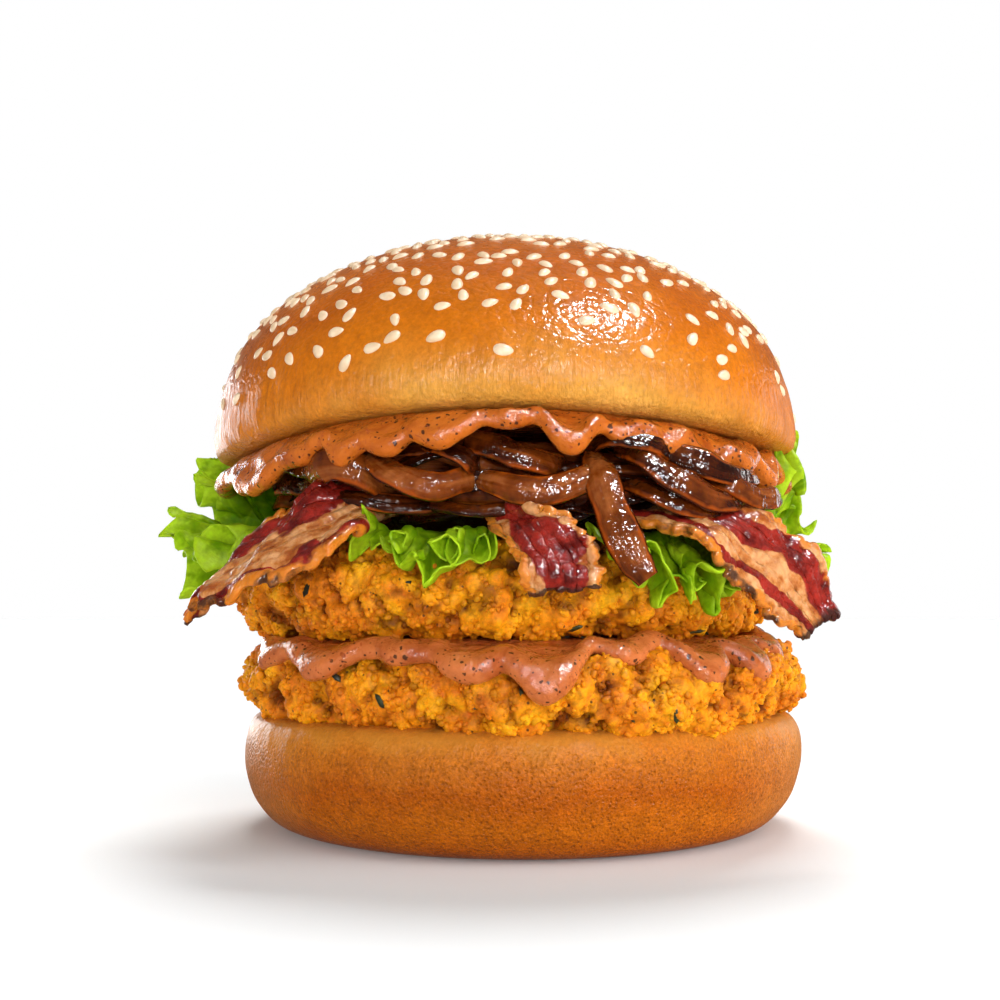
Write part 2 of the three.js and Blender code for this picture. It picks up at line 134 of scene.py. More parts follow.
def joined(x, y, z):
    """Points out of three coordinates, each an array or one number."""
    return np.stack(np.broadcast_arrays(x, y, z), axis=-1)


def unit(vector):
    return vector / np.linalg.norm(vector, axis=-1, keepdims=True)


def no_mark(grid):
    return np.zeros(grid.shape[:-1])


# Curves and meshes

# How finely the pieces are divided: sides round, millimetres along a profile, columns and rows of a sheet
SIDES = {"heel": 380, "lid": 420, "patty": 820, "sauce": 500, "core": 240}
SPACING = {"heel": 0.9, "lid": 0.85, "patty": 0.43, "core": 1.1}
SHEET_GRID = {"leaf": (840, 46), "rasher": (380, 52), "slice": (60, 11)}
STEP_ASIDE = 1e-4


def curve_through(points, even=False):
    """A smooth curve through points. It gives its points for an array of shares from 0 to 1."""
    points = np.array(points, float)
    count = len(points)
    ends = np.vstack([2 * points[0] - points[1], points, 2 * points[-1] - points[-2]])

    def at(share):
        place = np.clip(share, 0, 1) * (count - 1)
        start = np.minimum(place.astype(int), count - 2)
        w = (place - start)[..., None]
        p0, p1, p2, p3 = (ends[start + k] for k in range(4))
        if even:
            leave, arrive = 0.5 * (p2 - p0), 0.5 * (p3 - p1)
        else:
            pairs = ((p0, p1), (p1, p2), (p2, p3))
            d0, d1, d2 = (np.sqrt(np.linalg.norm(b - a, axis=-1, keepdims=True)) for a, b in pairs)
            leave = ((p1 - p0) / d0 - (p2 - p0) / (d0 + d1) + (p2 - p1) / d1) * d1
            arrive = ((p2 - p1) / d1 - (p3 - p1) / (d1 + d2) + (p3 - p2) / d2) * d1
        cubic = (2 * p1 - 2 * p2 + leave + arrive) * w**3
        return cubic + (3 * p2 - 3 * p1 - 2 * leave - arrive) * w**2 + leave * w + p1

    return at


def fine_profile(points, spacing):
    """Points every `spacing` along the smooth curve through the profile's corners."""
    curve = curve_through(points)(np.linspace(0, 1, 4000))
    along = np.concatenate([[0], np.cumsum(np.linalg.norm(np.diff(curve, axis=0), axis=1))])
    wanted = np.linspace(0, along[-1], max(8, int(along[-1] / spacing)))
    return np.stack([np.interp(wanted, along, curve[:, axis]) for axis in range(2)], axis=1)


def grid_normals(grid, closed_round):
    """Unit normals of a grid of points, rows along the profile and columns round or along it."""
    if closed_round:
        across = np.roll(grid, -1, axis=1) - np.roll(grid, 1, axis=1)
    else:
        across = np.gradient(grid, axis=1)
    normal = np.cross(across, np.gradient(grid, axis=0))
    return normal / np.maximum(np.linalg.norm(normal, axis=-1, keepdims=True), 1e-9)


def new_object(name, points, faces, uv=None, marks=None):
    """A smooth-shaded object from points in millimetres. `marks` holds a number per point by name."""
    mesh = bpy.data.meshes.new(name)
    mesh.from_pydata((np.asarray(points) * MM).tolist(), [], faces)
    mesh.shade_smooth()
    if uv is not None:
        corners = np.zeros(len(mesh.loops), np.int32)
        mesh.loops.foreach_get("vertex_index", corners)
        layer = mesh.uv_layers.new(name="lie")
        layer.data.foreach_set("uv", np.asarray(uv, np.float32)[corners].ravel())
    for mark, values in (marks or {}).items():
        attribute = mesh.attributes.new(mark, "FLOAT", "POINT")
        attribute.data.foreach_set("value", np.asarray(values, np.float32).ravel())
    mesh.validate()
    piece = bpy.data.objects.new(name, mesh)
    ROOT_COLLECTION.objects.link(piece)
    return piece


def round_faces(rings, sides):
    """Faces of a closed turned body: rings of `sides` points between a lowest and a highest one."""
    faces = []
    for j in range(sides):
        k = (j + 1) % sides
        faces.append((0, 1 + k, 1 + j))
        for i in range(rings - 1):
            low, high = 1 + i * sides, 1 + (i + 1) * sides
            faces.append((low + j, low + k, high + k, high + j))
        last = 1 + (rings - 1) * sides
        faces.append((last + j, last + k, 1 + rings * sides))
    return faces


def closed_body(name, grid, marks=None):
    """A closed body from its rings, lowest first. `marks` holds functions of the grid by name."""
    low, high = grid[0].mean(axis=0), grid[-1].mean(axis=0)
    points = np.vstack([low[None], grid.reshape(-1, 3), high[None]])
    values = {}
    for mark, measure in (marks or {}).items():
        found = measure(grid)
        values[mark] = np.concatenate([[found[0].mean()], found.ravel(), [found[-1].mean()]])
    return new_object(name, points, round_faces(*grid.shape[:2]), marks=values)


def widened(grid, wide, x, z):
    """The grid with its outline scaled about the axis, moved to x and given the heights z."""
    return joined(x + grid[..., 0] * wide, grid[..., 1] * wide, z)


def turned(name, profile, sides, move, marks=None):
    """A closed body turned from a fine profile that runs from the axis below to the axis above.

    `move` takes the grid of points and the angles, and gives the grid as it should lie."""
    angle = np.linspace(0, TAU, sides, endpoint=False)[None, :]
    radius, height = profile[1:-1, 0][:, None], profile[1:-1, 1][:, None]
    grid = joined(radius * np.cos(angle), radius * np.sin(angle), height)
    return closed_body(name, move(grid, angle + 0 * radius), marks)


def sheet_shares(columns, rows, first):
    """Two grids for a sheet: shares along it from 0 to 1, and shares across it from `first` to 1."""
    return np.meshgrid(np.linspace(0, 1, columns), np.linspace(first, 1, rows))


def sheet_parts(middle, thick, uv, marks):
    """Points, faces, UV and marks of a closed thin body round a grid of middle points."""
    rows, columns = middle.shape[:2]
    count = rows * columns
    normal = grid_normals(middle, closed_round=False)
    top = middle + normal * thick[..., None] / 2
    under = middle - normal * thick[..., None] / 2
    points = np.vstack([top.reshape(-1, 3), under.reshape(-1, 3)])
    place = np.arange(count).reshape(rows, columns)
    a, b, c, d = place[:-1, :-1], place[:-1, 1:], place[1:, 1:], place[1:, :-1]
    upper = np.stack([a, b, c, d], axis=-1).reshape(-1, 4)
    faces = np.vstack([upper, upper[:, ::-1] + count])
    rim = np.array([*place[0, :-1], *place[:-1, -1], *place[-1, :0:-1], *place[:0:-1, 0]])
    ahead = np.roll(rim, -1)
    faces = np.vstack([faces, np.stack([ahead, rim, rim + count, ahead + count], axis=-1)])
    both = np.vstack([uv.reshape(-1, 2), uv.reshape(-1, 2)])
    doubled = {mark: np.tile(values.ravel(), 2) for mark, values in marks.items()}
    return points, faces, both, doubled


def new_sheets(name, sheets):
    """One object out of several closed sheets."""
    points, faces, uv, marks, start = [], [], [], {}, 0
    for sheet in sheets:
        some_points, some_faces, some_uv, some_marks = sheet
        points.append(some_points)
        faces.append(some_faces + start)
        uv.append(some_uv)
        for mark, values in some_marks.items():
            marks.setdefault(mark, []).append(values)
        start += len(some_points)
    marks = {mark: np.concatenate(values) for mark, values in marks.items()}
    return new_object(name, np.vstack(points), np.vstack(faces).tolist(), np.vstack(uv), marks)


def ribbon(stations, camber, ruffle, steps, seed):
    """A ribbon through stations of centre and half-width vector, arched across and ruffled.

    It is a function of the shares along it and the sides from -1 to 1."""
    path = curve_through([centre for centre, _ in stations])
    halves = curve_through([half for _, half in stations], even=True)

    def middle(u, side):
        half = halves(u)
        ahead = unit(path(u + STEP_ASIDE) - path(u - STEP_ASIDE))
        normal = unit(np.cross(ahead, half))
        edge = 0.35 + 0.65 * np.abs(side)
        wave = ruffle * edge * np.sin(TAU * (u * steps * 0.42 + 0.22 * side) + seed)
        arch = camber * np.linalg.norm(half, axis=-1) * (1 - side**2)
        return path(u) + half * side[..., None] + normal * (arch + wave)[..., None]

    return middle


def baked(piece):
    """The piece with its modifiers made into a plain mesh."""
    bpy.context.view_layer.update()
    shown = piece.evaluated_get(bpy.context.evaluated_depsgraph_get())
    mesh = bpy.data.meshes.new_from_object(shown)
    piece.modifiers.clear()
    before = piece.data
    piece.data = mesh
    mesh.name = piece.name
    bpy.data.meshes.remove(before)
    return piece


def finish_piece(piece, slot, *nodes):
    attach(piece, BODY)
    if nodes:
        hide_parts(*nodes)
    return piece


# Node trees


def add(tree, kind, inputs=None, **settings):
    """A node with its settings, its inputs set to values or linked to sockets, found by name or place."""
    made = tree.nodes.new(kind)
    for key, value in settings.items():
        setattr(made, key, value)
    for key, value in (inputs or {}).items():
        if isinstance(key, int):
            socket = made.inputs[key]
        else:
            socket = next(s for s in made.inputs if s.name == key and s.enabled)
        if isinstance(value, bpy.types.NodeSocket):
            tree.links.new(value, socket)
        else:
            socket.default_value = value
    return made


def out(made, name=None):
    """The named output of a node, or its first one in use."""
    return next(s for s in made.outputs if s.enabled and name in (None, s.name))


def maths(tree, operation, a, b=0.0, clamp=False):
    return out(add(tree, "ShaderNodeMath", {0: a, 1: b}, operation=operation, use_clamp=clamp))


def plus(tree, a, b):
    return maths(tree, "ADD", a, b)


def minus(tree, a, b):
    return maths(tree, "SUBTRACT", a, b)


def times(tree, a, b):
    return maths(tree, "MULTIPLY", a, b)


def vectors(tree, operation, a, b):
    return out(add(tree, "ShaderNodeVectorMath", {0: a, 1: b}, operation=operation))


def scaled(tree, vector, share):
    """A vector or a colour multiplied by one number."""
    inputs = {0: vector, "Scale": share}
    return out(add(tree, "ShaderNodeVectorMath", inputs, operation="SCALE"))


def spread(tree, value, low, high, to_low=0.0, to_high=1.0):
    inputs = {"Value": value, "From Min": low, "From Max": high, "To Min": to_low, "To Max": to_high}
    return out(add(tree, "ShaderNodeMapRange", inputs, clamp=True))


def mottled(tree, where, size, low, high, detail=2.0, rough=0.5):
    """Noise with swells `size` millimetres apart, spread from low to high."""
    return spread(tree, noise(tree, where, size, detail, rough), 0.3, 0.7, low, high)


def ramp(tree, factor, stops):
    """A colour for a factor, from stops of place and linear red, green and blue."""
    made = add(tree, "ShaderNodeValToRGB", {"Fac": factor})
    bar = made.color_ramp
    while len(bar.elements) < len(stops):
        bar.elements.new(1.0)
    for element, (place, colour) in zip(bar.elements, stops):
        element.position = place
        element.color = (*colour, 1)
    return out(made, "Color")


def blend(tree, factor, a, b):
    """A colour between two, where each is a socket or a tuple of red, green and blue."""
    ends = {"Factor": factor}
    for key, colour in (("A", a), ("B", b)):
        ends[key] = (*colour, 1) if isinstance(colour, tuple) else colour
    return out(add(tree, "ShaderNodeMix", ends, data_type="RGBA"))


def noise(tree, where, size, detail=2.0, rough=0.5, bend=0.0):
    """Noise from 0 to 1 with swells `size` millimetres apart."""
    inputs = {"Vector": where, "Scale": 1 / (size * MM), "Detail": detail}
    inputs |= {"Roughness": rough, "Distortion": bend}
    return out(add(tree, "ShaderNodeTexNoise", inputs))


def noise_colour(tree, where, per_metre, detail=2.0):
    """Noise in red, green and blue at once, with so many swells to the metre."""
    inputs = {"Vector": where, "Scale": per_metre, "Detail": detail}
    return out(add(tree, "ShaderNodeTexNoise", inputs), "Color")


def stretched_noise(tree, stretch, detail):
    """Noise along a sheet, from its UV map with a number of swells each way."""
    lie = out(add(tree, "ShaderNodeUVMap", uv_map="lie"))
    long = add(tree, "ShaderNodeMapping", {"Vector": lie, "Scale": (*stretch, 1.0)})
    return out(add(tree, "ShaderNodeTexNoise", {"Vector": out(long), "Scale": 1.0, "Detail": detail}))


def cells(tree, where, size, feature="F1", name="Distance"):
    made = add(tree, "ShaderNodeTexVoronoi", {"Vector": where, "Scale": 1 / (size * MM)}, feature=feature)
    return out(made, name)


def bump(tree, height, distance, strength=1.0, under=None):
    inputs = {"Height": height, "Distance": distance * MM, "Strength": strength}
    if under is not None:
        inputs["Normal"] = under
    return out(add(tree, "ShaderNodeBump", inputs))


def object_place(tree, stretch=(1, 1, 1)):
    """Object coordinates, squeezed by axis where a pattern is longer one way."""
    place = out(add(tree, "ShaderNodeTexCoord"), "Object")
    if stretch == (1, 1, 1):
        return place
    return out(add(tree, "ShaderNodeMapping", {"Vector": place, "Scale": stretch}))


def mark(tree, name):
    return out(add(tree, "ShaderNodeAttribute", attribute_name=name), "Fac")


def new_material(name, **sockets):
    """A material, its tree and its main shader, with constants set on the shader's own sockets."""
    material = bpy.data.materials.new(name)
    material.use_nodes = True
    tree = material.node_tree
    shader = tree.nodes["Principled BSDF"]
    for key, value in sockets.items():
        shader.inputs[key.replace("_", " ")].default_value = value
    return material, tree, shader


def connect(tree, shader, colour, normal=None, rough=None):
    tree.links.new(colour, shader.inputs["Base Color"])
    if normal is not None:
        tree.links.new(normal, shader.inputs["Normal"])
        tree.links.new(normal, shader.inputs["Coat Normal"])
    if rough is not None:
        tree.links.new(rough, shader.inputs["Roughness"])


# Finishes

# Linear red, green and blue, and the heights in metres that a crust's tones span
# A painted sheen for the bottom bun's left and right ends
PAINTED_END_SHEEN = (0.68, 0.29, 0.07)
SEED_SHADE = (0.66, 0.45, 0.26)
SPICE = (0.58, 0.12, 0.006)
DARK_CRUMB = (0.05, 0.022, 0.008)
GROUND_PEPPER = (0.035, 0.014, 0.006)
RED_FLAKE = (0.33, 0.06, 0.015)
CRISP_EDGE = (0.62, 0.19, 0.015)
CHARRED = (0.035, 0.012, 0.008)
LIT_RIM = (0.36, 0.062, 0.003)
DARK_HERB = (0.012, 0.014, 0.006)
PALE_HERB = (0.05, 0.065, 0.015)
TOP_CRUST_SPAN = (0.07, 0.117)
BOTTOM_CRUST_SPAN = (0.0, 0.023)


def tinted(colour, shares):
    """A colour with its red, green and blue each multiplied by a share, up to 1."""
    return tuple(min(1.0, part * share) for part, share in zip(colour, shares))


def between(a, b, share):
    """The colour that lies a share of the way from one to the other."""
    return tuple(mix(first, second, share) for first, second in zip(a, b))


def top_crust_finish(crust, pale):
    material, tree, shader = new_material(
        "glazed_crust", IOR=1.45, Coat_Weight=0.5, Coat_Roughness=0.14, Specular_IOR_Level=0.05)
    place = object_place(tree)
    apart = add(tree, "ShaderNodeSeparateXYZ", {0: place})
    up = spread(tree, out(apart, "Z"), *TOP_CRUST_SPAN)
    # Painted shade: the crust turns browner towards its left and right sides, as the camera sees them
    side = spread(tree, maths(tree, "ABSOLUTE", out(apart, "X")), 0.02, 0.056, 0.0, 0.32)
    drift = mottled(tree, place, 14, -0.08, 0.08, 3, 0.55)
    tone = plus(tree, plus(tree, up, side), drift)
    deep = tinted(crust, (0.78, 0.64, 0.5))
    gold = between(pale, crust, 0.6)
    # rim: the pale band lightened further at the very bottom edge, a painted light on the rim's underside,
    # which faces down into shade
    rim = tinted(pale, (1.3, 1.35, 1.8))
    stops = [(0.06, rim), (0.16, pale), (0.3, gold), (0.46, crust), (0.7, deep), (1.0, crust)]
    colour = ramp(tree, tone, stops)
    freckle = mottled(tree, place, 0.8, 0.8, 1.14, 4, 0.65)
    cloud = mottled(tree, place, 4.5, 0.88, 1.09, 3, 0.6)
    colour = scaled(tree, colour, times(tree, freckle, cloud))
    streak = noise(tree, object_place(tree, (1, 1, 0.14)), 1.1, 4, 0.6)
    low_band = spread(tree, up, 0.12, 0.4, 1.0, 0.0)
    crackle = cells(tree, place, 2.1, "DISTANCE_TO_EDGE")
    skin = noise(tree, place, 1.15, 1.8, 0.5, 0.9)
    under = bump(tree, times(tree, streak, low_band), 1.1, 1.0)
    under = bump(tree, spread(tree, crackle, 0.0, 0.22), 0.1, 0.6, under)
    under = bump(tree, skin, 0.15, 0.8, under)
    under = bump(tree, noise(tree, place, 0.5, 2), 0.05, 0.6, under)
    gloss = spread(tree, up, 0.05, 0.5, 0.46, 0.28)
    gloss = plus(tree, gloss, mottled(tree, place, 3, -0.05, 0.07, 2))
    connect(tree, shader, colour, under, gloss)
    return material


def bottom_crust_finish(crust, pale):
    material, tree, shader = new_material("soft_crust", IOR=1.45, Roughness=0.3, Specular_IOR_Level=0.15)
    place = object_place(tree)
    apart = add(tree, "ShaderNodeSeparateXYZ", {0: place})
    up = spread(tree, out(apart, "Z"), *BOTTOM_CRUST_SPAN)
    drift = mottled(tree, place, 11, -0.09, 0.09, 3, 0.55)
    tone = plus(tree, up, drift)
    deep = tinted(crust, (0.84, 0.72, 0.5))
    light = between(crust, pale, 0.16)
    edge = between(crust, pale, 0.55)
    stops = [(0.0, deep), (0.25, crust), (0.5, deep), (0.78, light), (0.94, edge), (1.0, edge)]
    colour = ramp(tree, tone, stops)
    # Painted sheen: the left and right ends, as the camera sees them, blend towards a pale honey colour
    side = spread(tree, maths(tree, "ABSOLUTE", out(apart, "X")), 0.036, 0.056, 0.0, 0.45)
    colour = blend(tree, side, colour, PAINTED_END_SHEEN)
    pores = cells(tree, place, 0.7)
    # Painted shade: the crust darkens towards the middle of each pore
    pore_shade = spread(tree, pores, 0.1, 0.5, 0.88, 1.0)
    grain = spread(tree, noise(tree, place, 0.55, 4, 0.7), 0.32, 0.68, 0.74, 1.34)
    cloud = mottled(tree, place, 3.4, 0.86, 1.12, 4, 0.65)
    shade = times(tree, times(tree, pore_shade, grain), cloud)
    even = spread(tree, tone, 0.76, 0.96, 0.0, 0.75)
    shade = plus(tree, times(tree, shade, minus(tree, 1.0, even)), even)
    colour = scaled(tree, colour, shade)
    streak = noise(tree, object_place(tree, (1, 1, 0.12)), 1.3, 4, 0.6)
    upper_band = spread(tree, up, 0.76, 0.94)
    under = bump(tree, times(tree, streak, upper_band), 0.5, 0.8)
    grainy = minus(tree, 1.0, upper_band)
    under = bump(tree, times(tree, spread(tree, pores, 0.0, 0.5), grainy), 0.22, 1.0, under)
    rough_share = spread(tree, grainy, 0.0, 1.0, 0.3, 1.0)
    uneven = times(tree, noise(tree, place, 0.8, 3, 0.6), rough_share)
    under = bump(tree, uneven, 0.5, 1.0, under)
    connect(tree, shader, colour, under)
    return material


def seed_finish(settings):
    material, tree, shader = new_material("sesame", Roughness=0.38)
    place = object_place(tree)
    tone = noise(tree, place, 2.6, 2)
    colour = ramp(tree, tone, [(0.3, SEED_SHADE), (0.7, tuple(settings.seed_colour))])
    under = bump(tree, noise(tree, place, 0.5, 3), 0.08, 0.5)
    connect(tree, shader, colour, under)
    return material


def breading_finish(settings):
    material, tree, shader = new_material(
        "fried_breading", Roughness=0.48, Specular_IOR_Level=0.13, Subsurface_Weight=0.12,
        Subsurface_Radius=(1.0, 0.4, 0.1), Subsurface_Scale=0.0012)
    place = object_place(tree)
    gold, toast = tuple(settings.gold_colour), tuple(settings.toasted_colour)
    bright = tuple(settings.bright_colour)
    orange = tuple(mix(a, b, t) for a, b, t in zip(gold, toast, (0.2, 0.5, 0.6)))
    crevice_shade = tinted(toast, (0.3, 0.22, 0.2))
    tone = noise(tree, place, 7.5, 4, 0.6, 0.5)
    colour = ramp(tree, tone, [(0.3, toast), (0.43, orange), (0.55, gold), (0.72, bright)])
    # Painted shade: where the stored relief is low, in the creases between clumps, the colour darkens
    # towards a deep brown
    relief = mark(tree, "relief")
    crease = spread(tree, relief, 0.34, 0.78, 0.95, 0.0)
    colour = blend(tree, crease, colour, crevice_shade)
    spice = spread(tree, noise(tree, place, 2.2, 4, 0.65), 0.55, 0.7, 0.0, 0.7)
    colour = blend(tree, spice, colour, SPICE)
    fine = mottled(tree, place, 0.6, 0.74, 1.18, 3, 0.6)
    colour = scaled(tree, colour, fine)
    speck = spread(tree, cells(tree, place, 2.3), 0.09, 0.13, 0.85, 0.0)
    colour = blend(tree, speck, colour, DARK_CRUMB)
    under = bump(tree, noise(tree, place, 0.55, 4, 0.65), 0.22, 0.8)
    connect(tree, shader, colour, under)
    return material


def sauce_finish(name, colour_property, rough):
    material, tree, shader = new_material(
        name, Roughness=rough, IOR=1.45, Coat_Weight=0.9, Coat_Roughness=0.06, Specular_IOR_Level=0.2,
        Subsurface_Weight=0.15, Subsurface_Radius=(1.0, 0.35, 0.15), Subsurface_Scale=0.002)
    place = object_place(tree)
    main = tuple(colour_property)
    light = tinted(main, (1.2, 1.3, 1.4))
    deep = tinted(main, (0.66, 0.5, 0.4))
    tone = noise(tree, place, 6, 4, 0.6, 0.8)
    colour = ramp(tree, tone, [(0.28, deep), (0.5, main), (0.75, light)])
    bent = vectors(tree, "ADD", place, scaled(tree, noise_colour(tree, place, 900.0), 0.0011))
    for size, reach in ((2.6, 0.2), (1.5, 0.23), (0.9, 0.26)):
        pick = out(add(tree, "ShaderNodeSeparateColor", {0: cells(tree, bent, size, name="Color")}))
        speck = spread(tree, cells(tree, bent, size), reach - 0.06, reach, 0.9, 0.0)
        share = times(tree, speck, spread(tree, pick, 0.52, 0.53))
        colour = blend(tree, share, colour, GROUND_PEPPER)
    flake = spread(tree, noise(tree, place, 1.5, 2, 0.5, 1.0), 0.62, 0.7, 0.0, 0.75)
    colour = blend(tree, flake, colour, RED_FLAKE)
    under = bump(tree, noise(tree, place, 2.6, 4, 0.6), 0.85, 0.9)
    connect(tree, shader, colour, under)
    return material


def leaf_finish(settings):
    material, tree, shader = new_material("lettuce_leaf", Roughness=0.36, Specular_IOR_Level=0.14)
    place = object_place(tree)
    edge = mark(tree, "edge")
    tone = plus(tree, edge, mottled(tree, place, 5, -0.25, 0.25, 3, 0.6))
    green, pale = tuple(settings.green_colour), tuple(settings.pale_colour)
    deep = tinted(green, (0.62, 0.78, 0.8))
    colour = ramp(tree, tone, [(0.0, pale), (0.4, green), (0.7, deep), (0.88, green), (1.0, pale)])
    veins = spread(tree, cells(tree, place, 5.5, "DISTANCE_TO_EDGE"), 0.0, 0.08, 0.35, 0.0)
    colour = blend(tree, veins, colour, pale)
    fine = mottled(tree, place, 1.1, 0.86, 1.12, 3)
    colour = scaled(tree, colour, fine)
    under = bump(tree, cells(tree, place, 5.5, "DISTANCE_TO_EDGE"), 0.5, 0.7)
    under = bump(tree, noise(tree, place, 1.4, 3, 0.6), 0.35, 0.7, under)
    connect(tree, shader, colour, under)
    light = add(tree, "ShaderNodeBsdfTranslucent", {"Color": colour})
    both = add(tree, "ShaderNodeMixShader", {0: 0.42, 1: shader.outputs[0], 2: out(light)})
    tree.links.new(out(both), tree.nodes["Material Output"].inputs["Surface"])
    return material


def bacon_finish(settings):
    material, tree, shader = new_material(
        "fried_bacon", IOR=1.45, Coat_Weight=0.6, Coat_Roughness=0.08, Specular_IOR_Level=0.15,
        Subsurface_Weight=0.25, Subsurface_Radius=(1.0, 0.3, 0.1), Subsurface_Scale=0.0016)
    place = object_place(tree)
    lean_share = mark(tree, "lean")
    lean, fat = tuple(settings.lean_colour), tuple(settings.fat_colour)
    streak = stretched_noise(tree, (14.0, 60.0), 4.0)
    fine = mottled(tree, place, 1.6, -0.14, 0.14, 4, 0.6)
    grain = plus(tree, fine, spread(tree, streak, 0.3, 0.7, -0.28, 0.28))
    share = spread(tree, plus(tree, lean_share, grain), 0.38, 0.62)
    mottle = noise(tree, place, 3.4, 5, 0.65)
    dark_lean = tinted(lean, (0.4, 0.3, 0.35))
    red = ramp(tree, mottle, [(0.36, dark_lean), (0.52, lean), (0.7, tinted(lean, (1.7, 1.7, 1.7)))])
    toasted_fat = tinted(fat, (0.62, 0.4, 0.25))
    clear_fat = tinted(fat, (1.35, 1.9, 3.4))
    fatty = plus(tree, times(tree, mottle, 0.6), times(tree, streak, 0.4))
    cream = ramp(tree, fatty, [(0.4, toasted_fat), (0.47, fat), (0.56, clear_fat)])
    crease = spread(tree, cells(tree, place, 2.4, "DISTANCE_TO_EDGE"), 0.0, 0.2, 0.28, 0.0)
    cream = blend(tree, crease, cream, toasted_fat)
    colour = blend(tree, share, cream, red)
    crisp = mark(tree, "crisp")
    toasted = spread(tree, plus(tree, crisp, grain), 0.42, 0.76, 0.0, 0.9)
    colour = blend(tree, toasted, colour, CRISP_EDGE)
    char = mark(tree, "char")
    burning = plus(tree, char, spread(tree, mottle, 0.3, 0.7, -0.3, 0.3))
    charred = spread(tree, burning, 0.5, 0.8, 0.0, 0.92)
    colour = blend(tree, charred, colour, CHARRED)
    under = bump(tree, cells(tree, place, 1.5, "SMOOTH_F1"), 0.14, 0.7)
    under = bump(tree, streak, 0.5, 0.7, under)
    under = bump(tree, noise(tree, place, 1.1, 2, 0.5), 0.4, 0.85, under)
    gloss = spread(tree, noise(tree, place, 2.2, 2), 0.35, 0.65, 0.22, 0.5)
    connect(tree, shader, colour, under, gloss)
    return material


def onion_finish(settings):
    material, tree, shader = new_material(
        "caramelised_onion", IOR=1.45, Roughness=0.24, Coat_Weight=1.0, Coat_Roughness=0.05,
        Specular_IOR_Level=0.05, Subsurface_Weight=0.2, Subsurface_Radius=(1.0, 0.25, 0.05),
        Subsurface_Scale=0.0015)
    place = object_place(tree)
    rib = stretched_noise(tree, (1.6, 11.0), 3.0)
    amber, brown = tuple(settings.amber_colour), tuple(settings.brown_colour)
    clear = tuple(settings.clear_colour)
    burnt = tinted(brown, (0.2, 0.16, 0.2))
    tone = plus(tree, mark(tree, "tone"), mottled(tree, place, 6, -0.24, 0.24, 3, 0.6))
    tone = plus(tree, tone, spread(tree, rib, 0.3, 0.7, -0.11, 0.0))
    colour = ramp(tree, tone, [(0.1, burnt), (0.4, brown), (0.7, amber), (1.0, clear)])
    edge = mark(tree, "edge")
    lit = plus(tree, edge, mottled(tree, place, 4, -0.22, 0.1, 2))
    colour = blend(tree, spread(tree, lit, 0.62, 0.84, 0.0, 0.85), colour, LIT_RIM)
    colour = blend(tree, spread(tree, edge, 0.84, 0.95, 0.0, 0.92), colour, burnt)
    under = bump(tree, rib, 0.2, 0.6)
    under = bump(tree, noise(tree, place, 2.0, 2, 0.5), 0.6, 0.8, under)
    under = bump(tree, noise(tree, place, 1.2, 1, 0.5), 0.24, 0.9, under)
    connect(tree, shader, colour, under)
    return material


def herb_finish():
    material, tree, shader = new_material("dried_herb", Roughness=0.5)
    tone = noise(tree, object_place(tree), 2, 2)
    colour = ramp(tree, tone, [(0.35, DARK_HERB), (0.65, PALE_HERB)])
    connect(tree, shader, colour)
    return material


def floor_finish(colour):
    material, tree, shader = new_material(
        "pale_floor", Roughness=0.9, Specular_IOR_Level=0.0, Emission_Color=(1, 1, 1, 1),
        Emission_Strength=0.08)
    place = object_place(tree)
    soft = mottled(tree, place, 60, 0.99, 1.0, 2)
    connect(tree, shader, scaled(tree, tuple(colour), soft))
    return material


def studio_world(strength):
    """White where the camera looks past the floor, and an even soft light from all round."""
    world = bpy.data.worlds.new("studio")
    world.use_nodes = True
    tree = world.node_tree
    soft = tree.nodes["Background"]
    soft.inputs["Color"].default_value = (1, 1, 1, 1)
    soft.inputs["Strength"].default_value = strength
    backdrop = add(tree, "ShaderNodeBackground", {"Color": (1, 1, 1, 1), "Strength": 1.0})
    seen = out(add(tree, "ShaderNodeLightPath"), "Is Camera Ray")
    both = add(tree, "ShaderNodeMixShader", {0: seen, 1: soft.outputs[0], 2: out(backdrop)})
    tree.links.new(out(both), tree.nodes["World Output"].inputs["Surface"])
    return world


# Geometry node trees


def new_tree(name, sockets):
    """A geometry node tree with a Geometry input, further named inputs and a Geometry output."""
    tree = bpy.data.node_groups.new(name, "GeometryNodeTree")
    tree.interface.new_socket("Geometry", in_out="INPUT", socket_type="NodeSocketGeometry")
    for label, kind, default in sockets:
        socket = tree.interface.new_socket(label, in_out="INPUT", socket_type=f"NodeSocket{kind}")
        if default is not None:
            socket.default_value = default
    tree.interface.new_socket("Geometry", in_out="OUTPUT", socket_type="NodeSocketGeometry")
    return tree, tree.nodes.new("NodeGroupInput"), tree.nodes.new("NodeGroupOutput")


def end_tree(tree, geometry, material, output):
    real = add(tree, "GeometryNodeRealizeInstances", {"Geometry": geometry})
    painted = add(tree, "GeometryNodeSetMaterial", {"Geometry": out(real), "Material": material})
    tree.links.new(out(painted), output.inputs[0])


def run_tree(piece, tree, values):
    """Runs a tree on a piece with its inputs set by their identifiers, and leaves a plain mesh."""
    modifier = piece.modifiers.new(tree.name, "NODES")
    modifier.node_group = tree
    for item in tree.interface.items_tree:
        if item.item_type == "SOCKET" and item.in_out == "INPUT" and item.name in values:
            modifier[item.identifier] = values[item.name]
    return baked(piece)


def read_mark(tree, name, kind="FLOAT"):
    """The value of a mark on the mesh, in a geometry tree."""
    made = add(tree, "GeometryNodeInputNamedAttribute", {"Name": name}, data_type=kind)
    return out(made, "Attribute")


